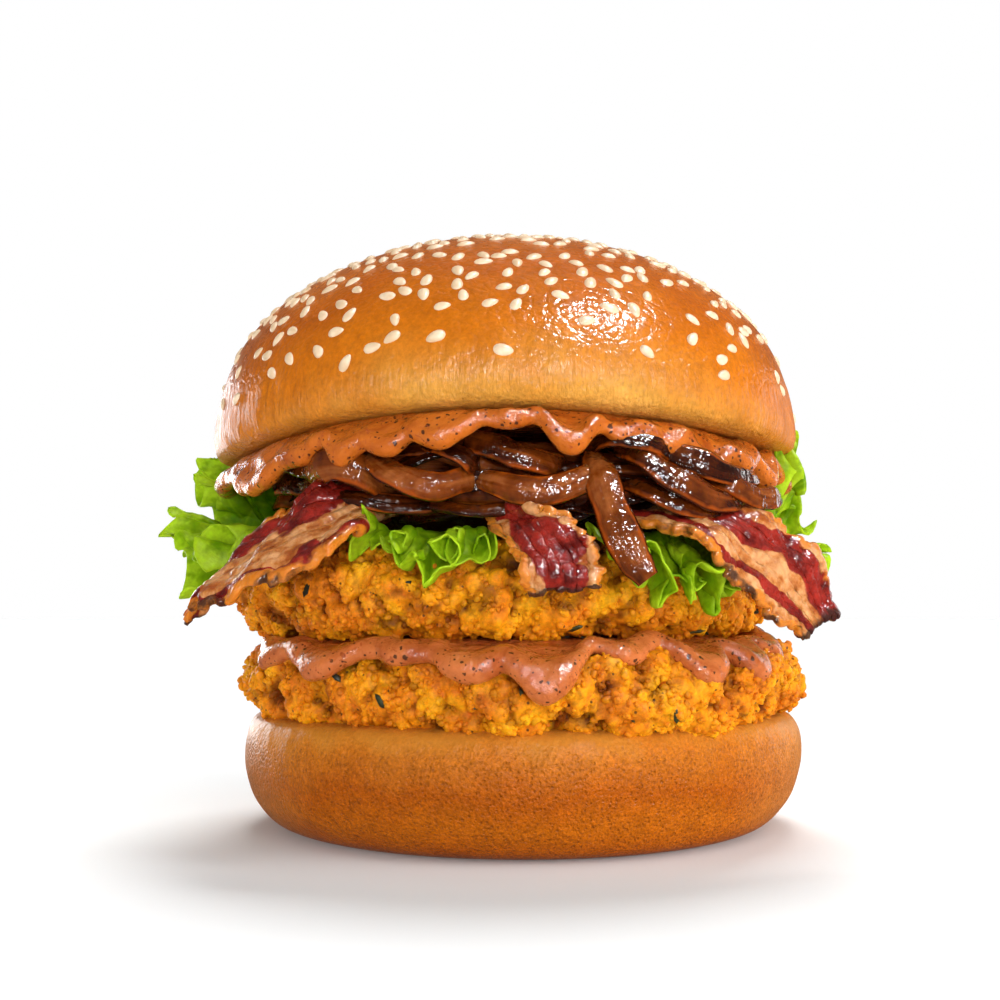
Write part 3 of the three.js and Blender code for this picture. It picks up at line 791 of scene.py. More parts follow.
def grains_of(tree, place, size, seed_shift):
    """Heights from 0 to 1 of round grains of a size, in a geometry tree."""
    moved = vectors(tree, "ADD", place, (seed_shift, seed_shift * 0.7, -seed_shift))
    scale = maths(tree, "DIVIDE", 1.0, size)
    made = add(tree, "ShaderNodeTexVoronoi", {"Vector": moved, "Scale": scale}, feature="F1")
    away = times(tree, out(made, "Distance"), 1.25)
    flat = maths(tree, "SUBTRACT", 1.0, times(tree, away, away), clamp=True)
    return maths(tree, "SQRT", flat)


def breading_tree():
    """Pushes a patty's surface out into clumps, nodules and crumbs where its mark `crag` says so."""
    lengths = [("Clump", 0.0072), ("Clump height", 0.0022), ("Nodule", 0.0032), ("Nodule height", 0.0012)]
    lengths += [("Crumb", 0.0014), ("Crumb height", 0.0006)]
    sockets = [(label, "Float", default) for label, default in lengths]
    sockets += [("Material", "Material", None)]
    tree, given, output = new_tree("breading", sockets)
    place = out(add(tree, "GeometryNodeInputPosition"))
    off = vectors(tree, "SUBTRACT", noise_colour(tree, place, 260.0), (0.5, 0.5, 0.5))
    bent = vectors(tree, "ADD", place, scaled(tree, off, 0.0022))
    grains, rises = [], []
    for label, shift, level in (("Clump", 0.31, 0.72), ("Nodule", 0.77, 0.6), ("Crumb", 1.23, 0.5)):
        grain = grains_of(tree, bent, given.outputs[label], shift)
        grains.append(grain)
        rises.append(times(tree, minus(tree, grain, level), given.outputs[f"{label} height"]))
    total = plus(tree, plus(tree, rises[0], rises[1]), rises[2])
    crag = read_mark(tree, "crag")
    normal = out(add(tree, "GeometryNodeInputNormal"), "Normal")
    offset = scaled(tree, normal, times(tree, total, crag))
    moved = add(tree, "GeometryNodeSetPosition", {"Geometry": given.outputs[0], "Offset": offset})
    relief = plus(tree, times(tree, grains[0], 0.5), times(tree, grains[1], 0.5))
    inputs = {"Geometry": out(moved), "Name": "relief", "Value": relief}
    kept = add(tree, "GeometryNodeStoreNamedAttribute", inputs, data_type="FLOAT", domain="POINT")
    end_tree(tree, out(kept), given.outputs["Material"], output)
    return tree


def scatter_tree():
    """Scatters small uneven grains over a surface where its mark `crag` says so."""
    sockets = [("Per square metre", "Float", 2.0e5), ("Smallest", "Float", 0.0004)]
    sockets += [("Largest", "Float", 0.0009), ("Flatness", "Float", 1.0), ("Length", "Float", 1.0)]
    sockets += [("Seed", "Int", 1), ("Material", "Material", None)]
    tree, given, output = new_tree("scattered_grains", sockets)
    crag = read_mark(tree, "crag")
    wanted = times(tree, crag, given.outputs["Per square metre"])
    inputs = {"Mesh": given.outputs[0], "Density": wanted, "Seed": given.outputs["Seed"]}
    spots = add(tree, "GeometryNodeDistributePointsOnFaces", inputs, distribute_method="RANDOM")
    ball = add(tree, "GeometryNodeMeshUVSphere", {"Segments": 6, "Rings": 4, "Radius": 1.0})
    rounded = add(tree, "GeometryNodeSetShadeSmooth", {"Geometry": out(ball)})
    low = {"Min": (0.7, 0.7, 0.7), "Max": (1.3, 1.3, 1.3), "Seed": 3}
    uneven = out(add(tree, "FunctionNodeRandomValue", low, data_type="FLOAT_VECTOR"))
    ends = {"Min": given.outputs["Smallest"], "Max": given.outputs["Largest"], "Seed": 5}
    size = out(add(tree, "FunctionNodeRandomValue", ends, data_type="FLOAT"))
    inputs = {"X": given.outputs["Length"], "Y": 1.0, "Z": given.outputs["Flatness"]}
    shape = add(tree, "ShaderNodeCombineXYZ", inputs)
    scale = scaled(tree, vectors(tree, "MULTIPLY", uneven, out(shape)), size)
    spin = {"Min": (-0.5, -0.5, 0.0), "Max": (0.5, 0.5, 6.28), "Seed": 7}
    turn = out(add(tree, "FunctionNodeRandomValue", spin, data_type="FLOAT_VECTOR"))
    turns = {0: out(spots, "Rotation"), 1: turn}
    rotated = add(tree, "FunctionNodeRotateRotation", turns, rotation_space="LOCAL")
    inputs = {"Points": out(spots, "Points"), "Instance": out(rounded)}
    inputs |= {"Rotation": out(rotated), "Scale": scale}
    placed = add(tree, "GeometryNodeInstanceOnPoints", inputs)
    loose = add(tree, "GeometryNodeRealizeInstances", {"Geometry": out(placed)})
    where = out(add(tree, "GeometryNodeInputPosition"))
    wild = noise_colour(tree, where, 1300.0, 1.0)
    off = scaled(tree, vectors(tree, "SUBTRACT", wild, (0.5, 0.5, 0.5)), given.outputs["Smallest"])
    inputs = {"Geometry": out(loose), "Offset": scaled(tree, off, 2.6)}
    shaken = add(tree, "GeometryNodeSetPosition", inputs)
    end_tree(tree, out(shaken), given.outputs["Material"], output)
    return tree


def seed_tree():
    """Lays a pointed flat seed on each point, its axes and size read from the point's own marks."""
    sockets = [("Length", "Float", 0.0031), ("Width", "Float", 0.0019), ("Thickness", "Float", 0.0012)]
    sockets += [("Taper", "Float", 0.5), ("Material", "Material", None)]
    tree, given, output = new_tree("laid_seeds", sockets)
    ball = add(tree, "GeometryNodeMeshUVSphere", {"Segments": 10, "Rings": 8, "Radius": 0.5})
    place = add(tree, "ShaderNodeSeparateXYZ", {0: out(add(tree, "GeometryNodeInputPosition"))})
    along = out(place, "Z")
    taper = minus(tree, 1.0, times(tree, along, given.outputs["Taper"]))
    across = times(tree, times(tree, out(place, "X"), taper), given.outputs["Width"])
    deep = times(tree, out(place, "Y"), given.outputs["Thickness"])
    lengthways = times(tree, along, given.outputs["Length"])
    inputs = {"X": lengthways, "Y": across, "Z": times(tree, deep, -1.0)}
    shaped = add(tree, "ShaderNodeCombineXYZ", inputs)
    grain = add(tree, "GeometryNodeSetPosition", {"Geometry": out(ball), "Position": out(shaped)})
    rounded = add(tree, "GeometryNodeSetShadeSmooth", {"Geometry": out(grain)})
    ways = {0: read_mark(tree, "outward", "FLOAT_VECTOR"), 1: read_mark(tree, "heading", "FLOAT_VECTOR")}
    axes = add(tree, "FunctionNodeAxesToRotation", ways, primary_axis="Z", secondary_axis="X")
    size = read_mark(tree, "size")
    scale = add(tree, "ShaderNodeCombineXYZ", {"X": size, "Y": size, "Z": 1.0})
    points = add(tree, "GeometryNodeMeshToPoints", {"Mesh": given.outputs[0]})
    inputs = {"Points": out(points), "Instance": out(rounded), "Rotation": out(axes), "Scale": out(scale)}
    placed = add(tree, "GeometryNodeInstanceOnPoints", inputs)
    end_tree(tree, out(placed), given.outputs["Material"], output)
    return tree


# Buns

HEEL = {"radius": 54.6, "base": 43.5, "height": 22.6, "middle": 15.5}
LID = {"x": -2.9, "radius": 58, "height": 37.8, "middle": 79, "edge": 74.7, "sag": 4.2, "arch": 1.6}
SEED_SUNK, SEED_SPACING, FUSED_SEEDS = 0.25, 3.2, 78


def heel(name):
    radius, base, height, middle = (HEEL[key] for key in ("radius", "base", "height", "middle"))
    profile = [[0, 0], [base - 6, 0], [base, 0.05]]
    for degrees in (-62, -38, -14):
        t = math.radians(degrees)
        profile.append([base + (radius - base) * math.cos(t), middle * (1 + math.sin(t))])
    profile += [[radius, middle], [radius - 0.4, height - 3.4], [radius - 1.9, height - 0.9]]
    profile += [[radius - 5, height], [0, height + 0.4]]

    def move(grid, angle):
        wide = 1 + unevenness(angle, 0.8) * smooth(0, 8, grid[..., 2])
        dents = 0.22 * soft_noise(grid, 9, 4) * smooth(1, 6, grid[..., 2])
        crease = 0.35 * np.abs(soft_noise(grid * [1, 1, 0.12], 3.1, 9)) ** 0.5
        crease = crease * smooth(15, 19, grid[..., 2])
        reach = np.maximum(from_axis(grid), 1)
        wide = wide + (dents + 0.2 - crease) * smooth(40, 50, reach) / reach
        return widened(grid, wide, 0, np.maximum(grid[..., 2], 0))

    return turned(name, fine_profile(profile, SPACING["heel"]), SIDES["heel"], move)


def droop(x, reach):
    """How far the top bun's rim, and what lies under it, droops at the two sides of its arch."""
    share = (x / LID["radius"]) ** 2
    return (LID["sag"] * share - LID["arch"] * (1 - share)) * smooth(44, 52, reach)


def lid_point(angle, tilt):
    x, radius, height, middle = (LID[key] for key in ("x", "radius", "height", "middle"))
    r = radius * np.sin(tilt) * (1 + unevenness(angle, 2.4))
    z = middle + height * np.cos(tilt)
    across = r * np.cos(angle)
    down = droop(across, r) * (1 - smooth(middle, middle + 0.55 * height, z))
    return np.array([x + across, r * np.sin(angle), z - down])


def lid(name):
    x, radius, height, middle, edge = (LID[key] for key in ("x", "radius", "height", "middle", "edge"))
    profile = [[0, edge + 0.5], [radius * 0.8, edge + 0.3], [radius - 6.5, edge]]
    profile += [[radius - 3, edge + 0.5], [radius - 0.8, edge + 0.4 * (middle - edge)]]
    for step in range(13):
        tilt = (math.pi / 2) * (1 - step / 12)
        profile.append([radius * math.sin(tilt), middle + height * math.cos(tilt)])

    def move(grid, angle):
        reach = from_axis(grid)
        wide = 1 + unevenness(angle, 2.4)
        down = droop(grid[..., 0], reach) * (1 - smooth(middle, middle + 0.55 * height, grid[..., 2]))
        low = 1 - smooth(middle + 2, middle + 14, grid[..., 2])
        crease = 0.25 * np.abs(soft_noise(grid * [1, 1, 0.1], 2.6, 21)) ** 0.5 * low
        dents = 0.18 * soft_noise(grid, 8, 5) + 0.07 * soft_noise(grid, 2.6, 6)
        wide = wide + (dents + 0.12 * low - crease) * smooth(50, 56, reach) / np.maximum(reach, 1)
        return widened(grid, wide, x, grid[..., 2] - down)

    return turned(name, fine_profile(profile, SPACING["lid"]), SIDES["lid"], move)


def seed_sites(count):
    """Where seeds lie: thick on the top, thinner down the sides, no two closer than the spacing."""
    sites, i = [], 0
    while len(sites) < count:
        i += 1
        deepest = 0.76 if len(sites) < FUSED_SEEDS else 0.93
        drop = deepest * draw(i, 1)
        angle = TAU * draw(i, 2)
        tilt = math.acos(1 - drop)
        centre = lid_point(angle, tilt)
        thinned = draw(i, 3) < 0.9 * smooth(0.3, deepest, drop)
        spacing = SEED_SPACING if len(sites) < FUSED_SEEDS else 0.85 * SEED_SPACING
        crowded = any(np.linalg.norm(site[0] - centre) < spacing for site in sites)
        if not thinned and not crowded:
            sites.append((centre, angle, tilt, TAU * draw(i, 4), mix(0.88, 1.12, draw(i, 5))))
    return sites


def seed_points(name, count):
    """A mesh of loose points, one for each seed, that carry the way it lies."""
    points, outwards, headings, sizes = [], [], [], []
    for centre, angle, tilt, turn, size in seed_sites(count):
        around = unit(lid_point(angle + 0.01, tilt) - centre)
        down = unit(lid_point(angle, tilt + 0.01) - centre)
        outward = unit(np.cross(down, around))
        points.append(centre - outward * SEED_SUNK)
        outwards.append(outward)
        headings.append(around * math.cos(turn) + down * math.sin(turn))
        sizes.append(size)
    piece = new_object(name, points, [], marks={"size": sizes})
    for mark_name, values in (("outward", outwards), ("heading", headings)):
        attribute = piece.data.attributes.new(mark_name, "FLOAT_VECTOR", "POINT")
        attribute.data.foreach_set("vector", np.asarray(values, np.float32).ravel())
    return piece


# Patties

LOWER_PATTY = {"x": 0.5, "bottom": 20.8, "top": 36.6, "lip": 0, "radius": 55.4, "edge": 11, "seed": 3.1}
UPPER_PATTY = {"x": -3, "bottom": 38.4, "top": 54.4, "lip": 0.6, "radius": 52.6, "edge": 9, "seed": 7.7}
CRUMB_GRAINS = {"Per square metre": 3.6e5, "Smallest": 0.0003, "Largest": 0.00085, "Flatness": 0.9}
HERB_GRAINS = {
    "Per square metre": 4.2e3, "Smallest": 0.0003, "Largest": 0.0007, "Flatness": 0.5, "Length": 2.6}


def patty(name, spec, covered):
    """A patty's smooth body with the mark `crag`. `covered` says how much sauce lies on a point."""
    x, bottom, top, lip, radius, edge, seed = spec.values()
    radius -= 0.8
    flat, low = radius - edge - 3, bottom - lip
    middle = (top + low) / 2
    outer = []
    for degrees in range(-75, 76, 15):
        t = math.radians(degrees)
        outer.append([radius - edge + edge * math.cos(t), middle + (middle - low) * math.sin(t)])
    fine = fine_profile([[flat, bottom], *outer, [flat, top]], SPACING["patty"])
    steps = np.linspace(0, 1, 9)[:, None] ** 0.7
    below = steps * [flat, 0] + [0, bottom]
    above = below[::-1] * [1, 0] + [0, top]
    profile = np.vstack([below[:-1], fine, above[1:]])

    def rough(grid):
        return smooth(radius - edge - 1, radius - 2, from_axis(grid))

    def move(grid, angle):
        reach = np.maximum(from_axis(grid), 1)
        crag = 1.6 * lumps(grid, 5.5, seed) + 0.8 * lumps(grid, 2.4, seed + 2)
        wide = 1 + (unevenness(angle, seed) * radius + rough(grid) * crag) / reach
        return widened(grid, wide, x, grid[..., 2])

    def crag_mark(grid):
        edge_share = smooth(radius - edge - 3, radius - 4, from_axis(grid, x))
        return edge_share * (1 - 0.85 * covered(grid))

    return turned(name, profile, SIDES["patty"], move, {"crag": crag_mark})


# Sauces

# A drip is its direction and half-width in degrees, and how far it runs and how thick it gets in millimetres
LOWER_SAUCE = {
    "x": -0.5, "bottom": 36.9, "top": 37.6, "flat": 43, "shoulder": (12.4, 8), "hang": 4, "skin": 1.4,
    "seed": 0.6, "arched": False, "lumps": 0.9, "narrow": 0.935,
    "drips": [
        (228, 14, 8.4, 1.8), (246, 9, 5.4, 1.6), (260, 9, 7.6, 1.8), (274.5, 8, 11.6, 2.4),
        (290, 9, 4.6, 1.4), (307, 7, 9.6, 2), (321, 6, 9, 1.8), (196, 14, 4, 1.2), (350, 12, 3, 1),
        (30, 12, 6, 1.6), (75, 14, 7, 1.6), (110, 9, 10, 2.2), (150, 13, 8, 1.6), (210, 9, 7, 2),
        (180, 12, 5, 1.4), (336, 8, 6.6, 1.8),
    ],
}
UPPER_SAUCE = {
    "x": -2.9, "bottom": 74.0, "top": 75.0, "flat": 50.2, "shoulder": (3.2, 3), "hang": 3.2, "skin": 1.8,
    "seed": 2.2, "arched": True, "lumps": 1.6, "narrow": 1.0,
    "drips": [
        (216, 11, 6.4, 1), (230, 7, 3.8, 1), (240, 4, 4.4, 1.2), (249, 4, 2.2, 0.6), (259, 5, 3.2, 0.8),
        (270, 4, 1.2, 0.4), (281, 4.4, 4.2, 1.4), (290, 4, 1.4, 0.4), (299, 4, 2.4, 0.8),
        (309, 4.4, 4.6, 1.4), (318, 4, 3.4, 1.2), (327, 4.4, 5.2, 1.4), (341, 8, 3, 0.8),
        (192, 14, 2.4, 0.6), (20, 12, 3.6, 1), (62, 10, 2.6, 0.8), (95, 12, 4, 1.2),
        (135, 10, 3.2, 1), (168, 10, 3, 0.8),
    ],
}


def bell(angle, degrees, width):
    """How near a direction is to a drip of some half-width, from 0 to 1."""
    off = math.radians(degrees) - angle
    return np.exp(-((np.arctan2(np.sin(off), np.cos(off)) / math.radians(width)) ** 2))


def hang_length(spec, angle):
    """How far a sauce hangs past its flat at each direction, and how thick it is at its edge."""
    runs, bulges = 0, 0
    for degrees, wide, run, thick in spec["drips"]:
        near = bell(angle, degrees, wide)
        runs = runs + (run * near) ** 3
        bulges = bulges + (thick * near) ** 3
    length, bulge = runs ** (1 / 3), bulges ** (1 / 3)
    ripple = 0.5 * np.sin(7 * angle + spec["seed"]) + 0.4 * np.sin(11 * angle + 2 * spec["seed"])
    return spec["hang"] + ripple + length, spec["skin"] + bulge


def sauce_layer(name, spec, swell):
    """Sauce that lies flat, turns down over a round shoulder and hangs as far as its drips run."""
    width, height = spec["shoulder"]
    quarter = math.pi / 4 * (width + height)
    inner = np.linspace(0.02, 1, 8)
    outer = 1 + np.linspace(0, 1, 44)[1:] ** 0.9
    under = np.concatenate([inner, outer])
    lip = np.linspace(-math.pi / 2, math.pi / 2, 14)[1:-1]
    along = np.concatenate([under, np.full(len(lip), 2.0), under[::-1]])[:, None]
    none, full = np.zeros(len(under)), np.ones(len(under))
    level = np.concatenate([none, 0.5 + 0.5 * np.sin(lip), full])[:, None]
    past = np.concatenate([none, 0.55 * np.cos(lip), none])[:, None]
    angle = np.linspace(0, TAU, SIDES["sauce"], endpoint=False)[None, :]
    hung = np.maximum(0, along - 1)
    length, edge_thick = hang_length(spec, angle)
    ring = joined(np.cos(angle), np.sin(angle), 0) * 50
    length = length + 0.9 * soft_noise(ring, 6, 3) + 0.4 * soft_noise(ring, 2.6, 8)
    thick = mix(spec["top"] - spec["bottom"], edge_thick, smooth(0.3, 1, hung))
    distance = hung * length + past * thick
    turn = np.minimum(1, distance / quarter) * (math.pi / 2)
    lumpy = spec["lumps"] * (0.5 + 0.5 * soft_noise(ring, 9, 17)) * (0.4 + 0.6 * level)
    reach = spec["flat"] * np.minimum(1, along) + (width + level * thick + lumpy) * np.sin(turn)
    drop = height * (1 - np.cos(turn)) + np.maximum(0, distance - quarter)
    across = reach * np.cos(angle) * spec["narrow"]
    arch = droop(across, reach) if spec["arched"] else 0
    z = spec["bottom"] - drop - arch + level * thick * np.cos(turn)
    grid = joined(spec["x"] + across, reach * np.sin(angle), z)
    swells = soft_noise(grid, 6.5, 12) + 0.5 * soft_noise(grid, 2.8, 13)
    outward = grid_normals(grid, closed_round=True)
    free = smooth(0.15, 0.6, hung) * level
    bead = 0.9 * smooth(0.55, 0.95, hung) * level
    grid = grid + outward * (swell * swells * free + bead)[..., None]
    return closed_body(name, grid)


def under_lower_sauce(grid):
    """1 where the sauce lies on the lower patty, 0 below its edge."""
    spec = LOWER_SAUCE
    angle = np.arctan2(grid[..., 1], grid[..., 0] - spec["x"])
    width, height = spec["shoulder"]
    quarter = math.pi / 4 * (width + height)
    length, _ = hang_length(spec, angle)
    turn = np.minimum(1, length / quarter) * (math.pi / 2)
    lowest = spec["bottom"] - height * (1 - np.cos(turn)) - np.maximum(0, length - quarter)
    return smooth(lowest - 0.5, lowest + 1.2, grid[..., 2])


# Lettuce

LEAF = {"z": 55.4, "thickness": 0.6, "root": 20, "flat": 46, "ruffle": 2.6, "waves": 14}
# A station of a leaf's free edge is its direction in degrees, its reach and its height
LEFT_EDGE = [
    (99, 43, 55.4), (104, 44, 55.4), (122, 45, 55.4), (131, 60, 55), (146, 64, 60), (161, 63, 68),
    (173, 64.5, 73.6), (183, 68, 65), (193, 71, 55.5), (203, 68, 51), (213, 57, 55), (224, 47.5, 57),
    (235, 49, 55.6), (242, 57, 54), (250, 61, 51.5), (258, 59, 52), (264, 50, 53.8),
]
RIGHT_EDGE = [
    (274, 47, 55.6), (281, 49, 55.4), (286, 58, 52), (291, 62.5, 49), (297, 63.5, 47), (303, 63, 46.5),
    (309, 58, 49), (315, 48, 55), (321, 45, 56), (328, 46, 56), (336, 56, 68), (343, 58, 72.5),
    (349, 59, 67), (354, 62, 58), (360, 64, 50), (367, 60, 54), (378, 62, 63), (390, 61, 53),
    (403, 60, 58), (410, 46, 55.4), (441, 43, 55.4),
]


def leaf(name, edge, phase, settings):
    """A leaf spread from its root line to a frilled free edge."""
    u, v = sheet_shares(*SHEET_GRID["leaf"], 0)
    stations = curve_through(edge, even=True)(u)
    degrees, reach, height = (stations[..., axis] for axis in range(3))
    ring = joined(np.cos(np.radians(degrees)), np.sin(np.radians(degrees)), 0) * 60
    reach = mix(reach, 0.94 * reach, smooth(LEAF["flat"] + 6, LEAF["flat"] + 14, reach))
    teeth = 2.4 * soft_noise(ring, 3.4, 31) + 1.8 * soft_noise(ring, 1.5, 32)
    loose = smooth(LEAF["flat"], LEAF["flat"] + 8, reach)
    r = mix(LEAF["root"], reach + teeth * loose * smooth(0.9, 1, v), v**0.6)
    free = smooth(LEAF["flat"], LEAF["flat"] + 12, r)
    rise = smooth(LEAF["flat"] + 2, np.maximum(reach, LEAF["flat"] + 3), r)
    turns = TAU * LEAF["waves"] * u + phase + 1.5 * soft_noise(ring, 15, 38)
    wild = 0.55 + 0.7 * (0.5 + 0.5 * soft_noise(ring, 7, 39))
    curl = free * settings.ruffle / MM
    fringe = free * smooth(0.4, 1, v) * wild * settings.frill / MM
    angle = np.radians(degrees) + 0.6 * curl * np.cos(turns + 0.8) / r
    angle = angle + fringe * 0.7 * np.cos(2.7 * turns + 1.1 + 2 * soft_noise(ring, 9, 33)) / r
    outward = r + 0.7 * curl * np.sin(2 * turns + phase) + 0.5 * fringe * np.sin(4.3 * turns + phase)
    z = mix(LEAF["z"], height, rise) + curl * (np.sin(turns) + 1 - free)
    z = z + fringe * np.sin(2.7 * turns + 3.4 * soft_noise(ring, 8, 34) + 1.5 * v)
    z = z + 0.4 * fringe * smooth(0.75, 1, v) * np.sin(7.1 * turns + 3 * soft_noise(ring, 5, 37))
    grid = joined(outward * np.cos(angle), outward * np.sin(angle), z)
    blister = 1.1 * soft_noise(grid, 4, 35) + 0.45 * soft_noise(grid, 1.9, 36)
    grid = grid + grid_normals(grid, closed_round=False) * (blister * smooth(0.2, 0.5, v))[..., None]
    thick = LEAF["thickness"] * mix(1, 0.55, v) + 0 * u
    uv = np.stack([u, v], axis=-1)
    return new_sheets(name, [sheet_parts(grid, thick, uv, {"edge": v})])


# Bacon

# A station of a rasher is its centre and its half-width vector, from the front tip to the back one
BACON_LEFT = [
    ((-56, -38.5, 43), (-3, -1.5, -2.8)), ((-50.6, -43.4, 49.4), (-4.2, -4.8, -6)),
    ((-41, -48, 54.2), (-3.2, -7, -8.4)), ((-30, -47.4, 59), (-0.8, -8, -6.6)),
    ((-21.5, -36, 60), (-5.5, -6.5, -0.4)), ((-18.5, -20, 58), (-8.2, -0.5, 0)),
    ((-18.5, 20, 58), (-8.2, 0, 0)), ((-20, 44, 58), (-8.4, -1.5, 0)),
    ((-22, 55.5, 53), (-8.4, -3, 0)), ((-23, 59, 46), (-7, -3, 0)),
]
BACON_MIDDLE = [
    ((6.4, -61, 45), (5.6, 0.6, 0.6)), ((5.4, -60, 50.5), (6.8, 0.3, 0)),
    ((1.6, -56.6, 56.4), (6.2, -3.4, 0.6)), ((-4, -49, 60), (4.8, -6.2, -1)),
    ((-3, -37, 59.4), (7, -3, 0)), ((0, -20, 58), (8, 0, 0)),
    ((0, 20, 58), (8, 0, 0)), ((1, 44, 58), (8, 0.5, 0)),
    ((1.5, 56.5, 53.5), (7.6, 0.5, 0)), ((2, 60, 46.5), (6, 0, 0)),
]
BACON_RIGHT = [
    ((52, -41, 38.6), (3.4, 2.2, 2)), ((46.6, -44.5, 46.4), (6, 4.6, 4.2)),
    ((39, -48.4, 53), (5.6, 6.4, 4.8)), ((29.5, -49.2, 58), (2.6, 8, 3.4)),
    ((20.6, -38, 59.4), (6, 5.6, 1)), ((18.5, -20, 58), (8.2, 0.5, 0)),
    ((18.5, 20, 58), (8.2, 0, 0)), ((21, 42, 58), (8.2, -2, 0)),
    ((26, 53.5, 53), (7.6, -4, 0)), ((29, 57.5, 46.5), (6, -3, 0)),
]
RASHER_LENGTH = 150
# The lean bands of each rasher: centre and half-width, as shares of the rasher's own half-width
LEAN_BANDS = [
    [(-0.5, 0.38), (0.78, 0.17)],
    [(0.05, 0.62)],
    [(0.3, 0.34), (-0.66, 0.12)],
]


def rasher(name, stations, number, settings):
    middle = ribbon(stations, 0, 0.6, 18, number * 2.1)
    u, side = sheet_shares(*SHEET_GRID["rasher"], -1)
    tip = joined(side * 12, 0, number * 7)
    torn = 0.012 + 0.012 * soft_noise(tip, 4, 54) + 0.006 * soft_noise(tip, 1.5, 55)
    u = u + torn * smooth(0.06, 0, np.minimum(u, 1 - u)) * np.where(u < 0.5, 1, -1)
    line = joined(u * RASHER_LENGTH, np.sign(side) * 40, number * 30)
    nibbled = 1 + 0.13 * soft_noise(line, 3.4, 41) + 0.11 * soft_noise(line, 1.3, 42)
    grid = middle(u, side * mix(1, nibbled, np.abs(side) ** 2))
    normal = grid_normals(grid, closed_round=False)
    edge = np.abs(side)
    ends = np.minimum(u, 1 - u)
    ends = (ends - ends.min(axis=1, keepdims=True)) * RASHER_LENGTH
    curl = 0.9 * edge**1.5 * soft_noise(line, 9, 43) + 0.45 * soft_noise(grid, 4.5, 44)
    wrinkle = 0.22 * (granules(grid, 2.3, 45) - 0.5) + 0.25 * soft_noise(grid, 1.6, 46)
    furrow = joined(u * RASHER_LENGTH, side * 34, number * 30) * [0.28, 1, 1]
    wrinkle = wrinkle + 0.45 * soft_noise(furrow, 3.2, 52) + 0.3 * soft_noise(line * [1, 0, 1], 3.6, 53)
    grid = grid + normal * (curl + wrinkle)[..., None]
    body = (1 - edge**8) ** 0.5 * np.sqrt(np.clip(ends / 1.2, 0, 1))
    thick = mix(0.35, settings.thickness / MM, body)
    thick = thick + (0.12 + 0.4 * edge**3) * (granules(grid, 1.5, 47) - 0.4) * body
    wander = 0.24 * soft_noise(line * [1, 0, 1], 13, 48) + 0.26 * soft_noise(grid, 4.5, 49)
    lean = np.zeros_like(u)
    for centre, half in LEAN_BANDS[number]:
        lean = np.maximum(lean, 1 - smooth(half * 0.75, half * 1.25, np.abs(side - centre - wander)))
    crisp = smooth(0.74, 1, edge + 0.14 * soft_noise(grid, 3, 50))
    char = np.maximum(smooth(6, 0, ends), 0.75 * smooth(0.86, 1.05, edge + 0.25 * soft_noise(grid, 6, 51)))
    uv = np.stack([u * 1.5, side * 0.09], axis=-1)
    marks = {"lean": lean, "crisp": crisp, "char": char}
    return new_sheets(name, [sheet_parts(grid, thick, uv, marks)])


# Onions

HEAP = {"radius": 41, "low": 56.4, "high": 73, "x": -1}
SIDE_SLICES = 8
GOLDEN_SHARE = 0.618034
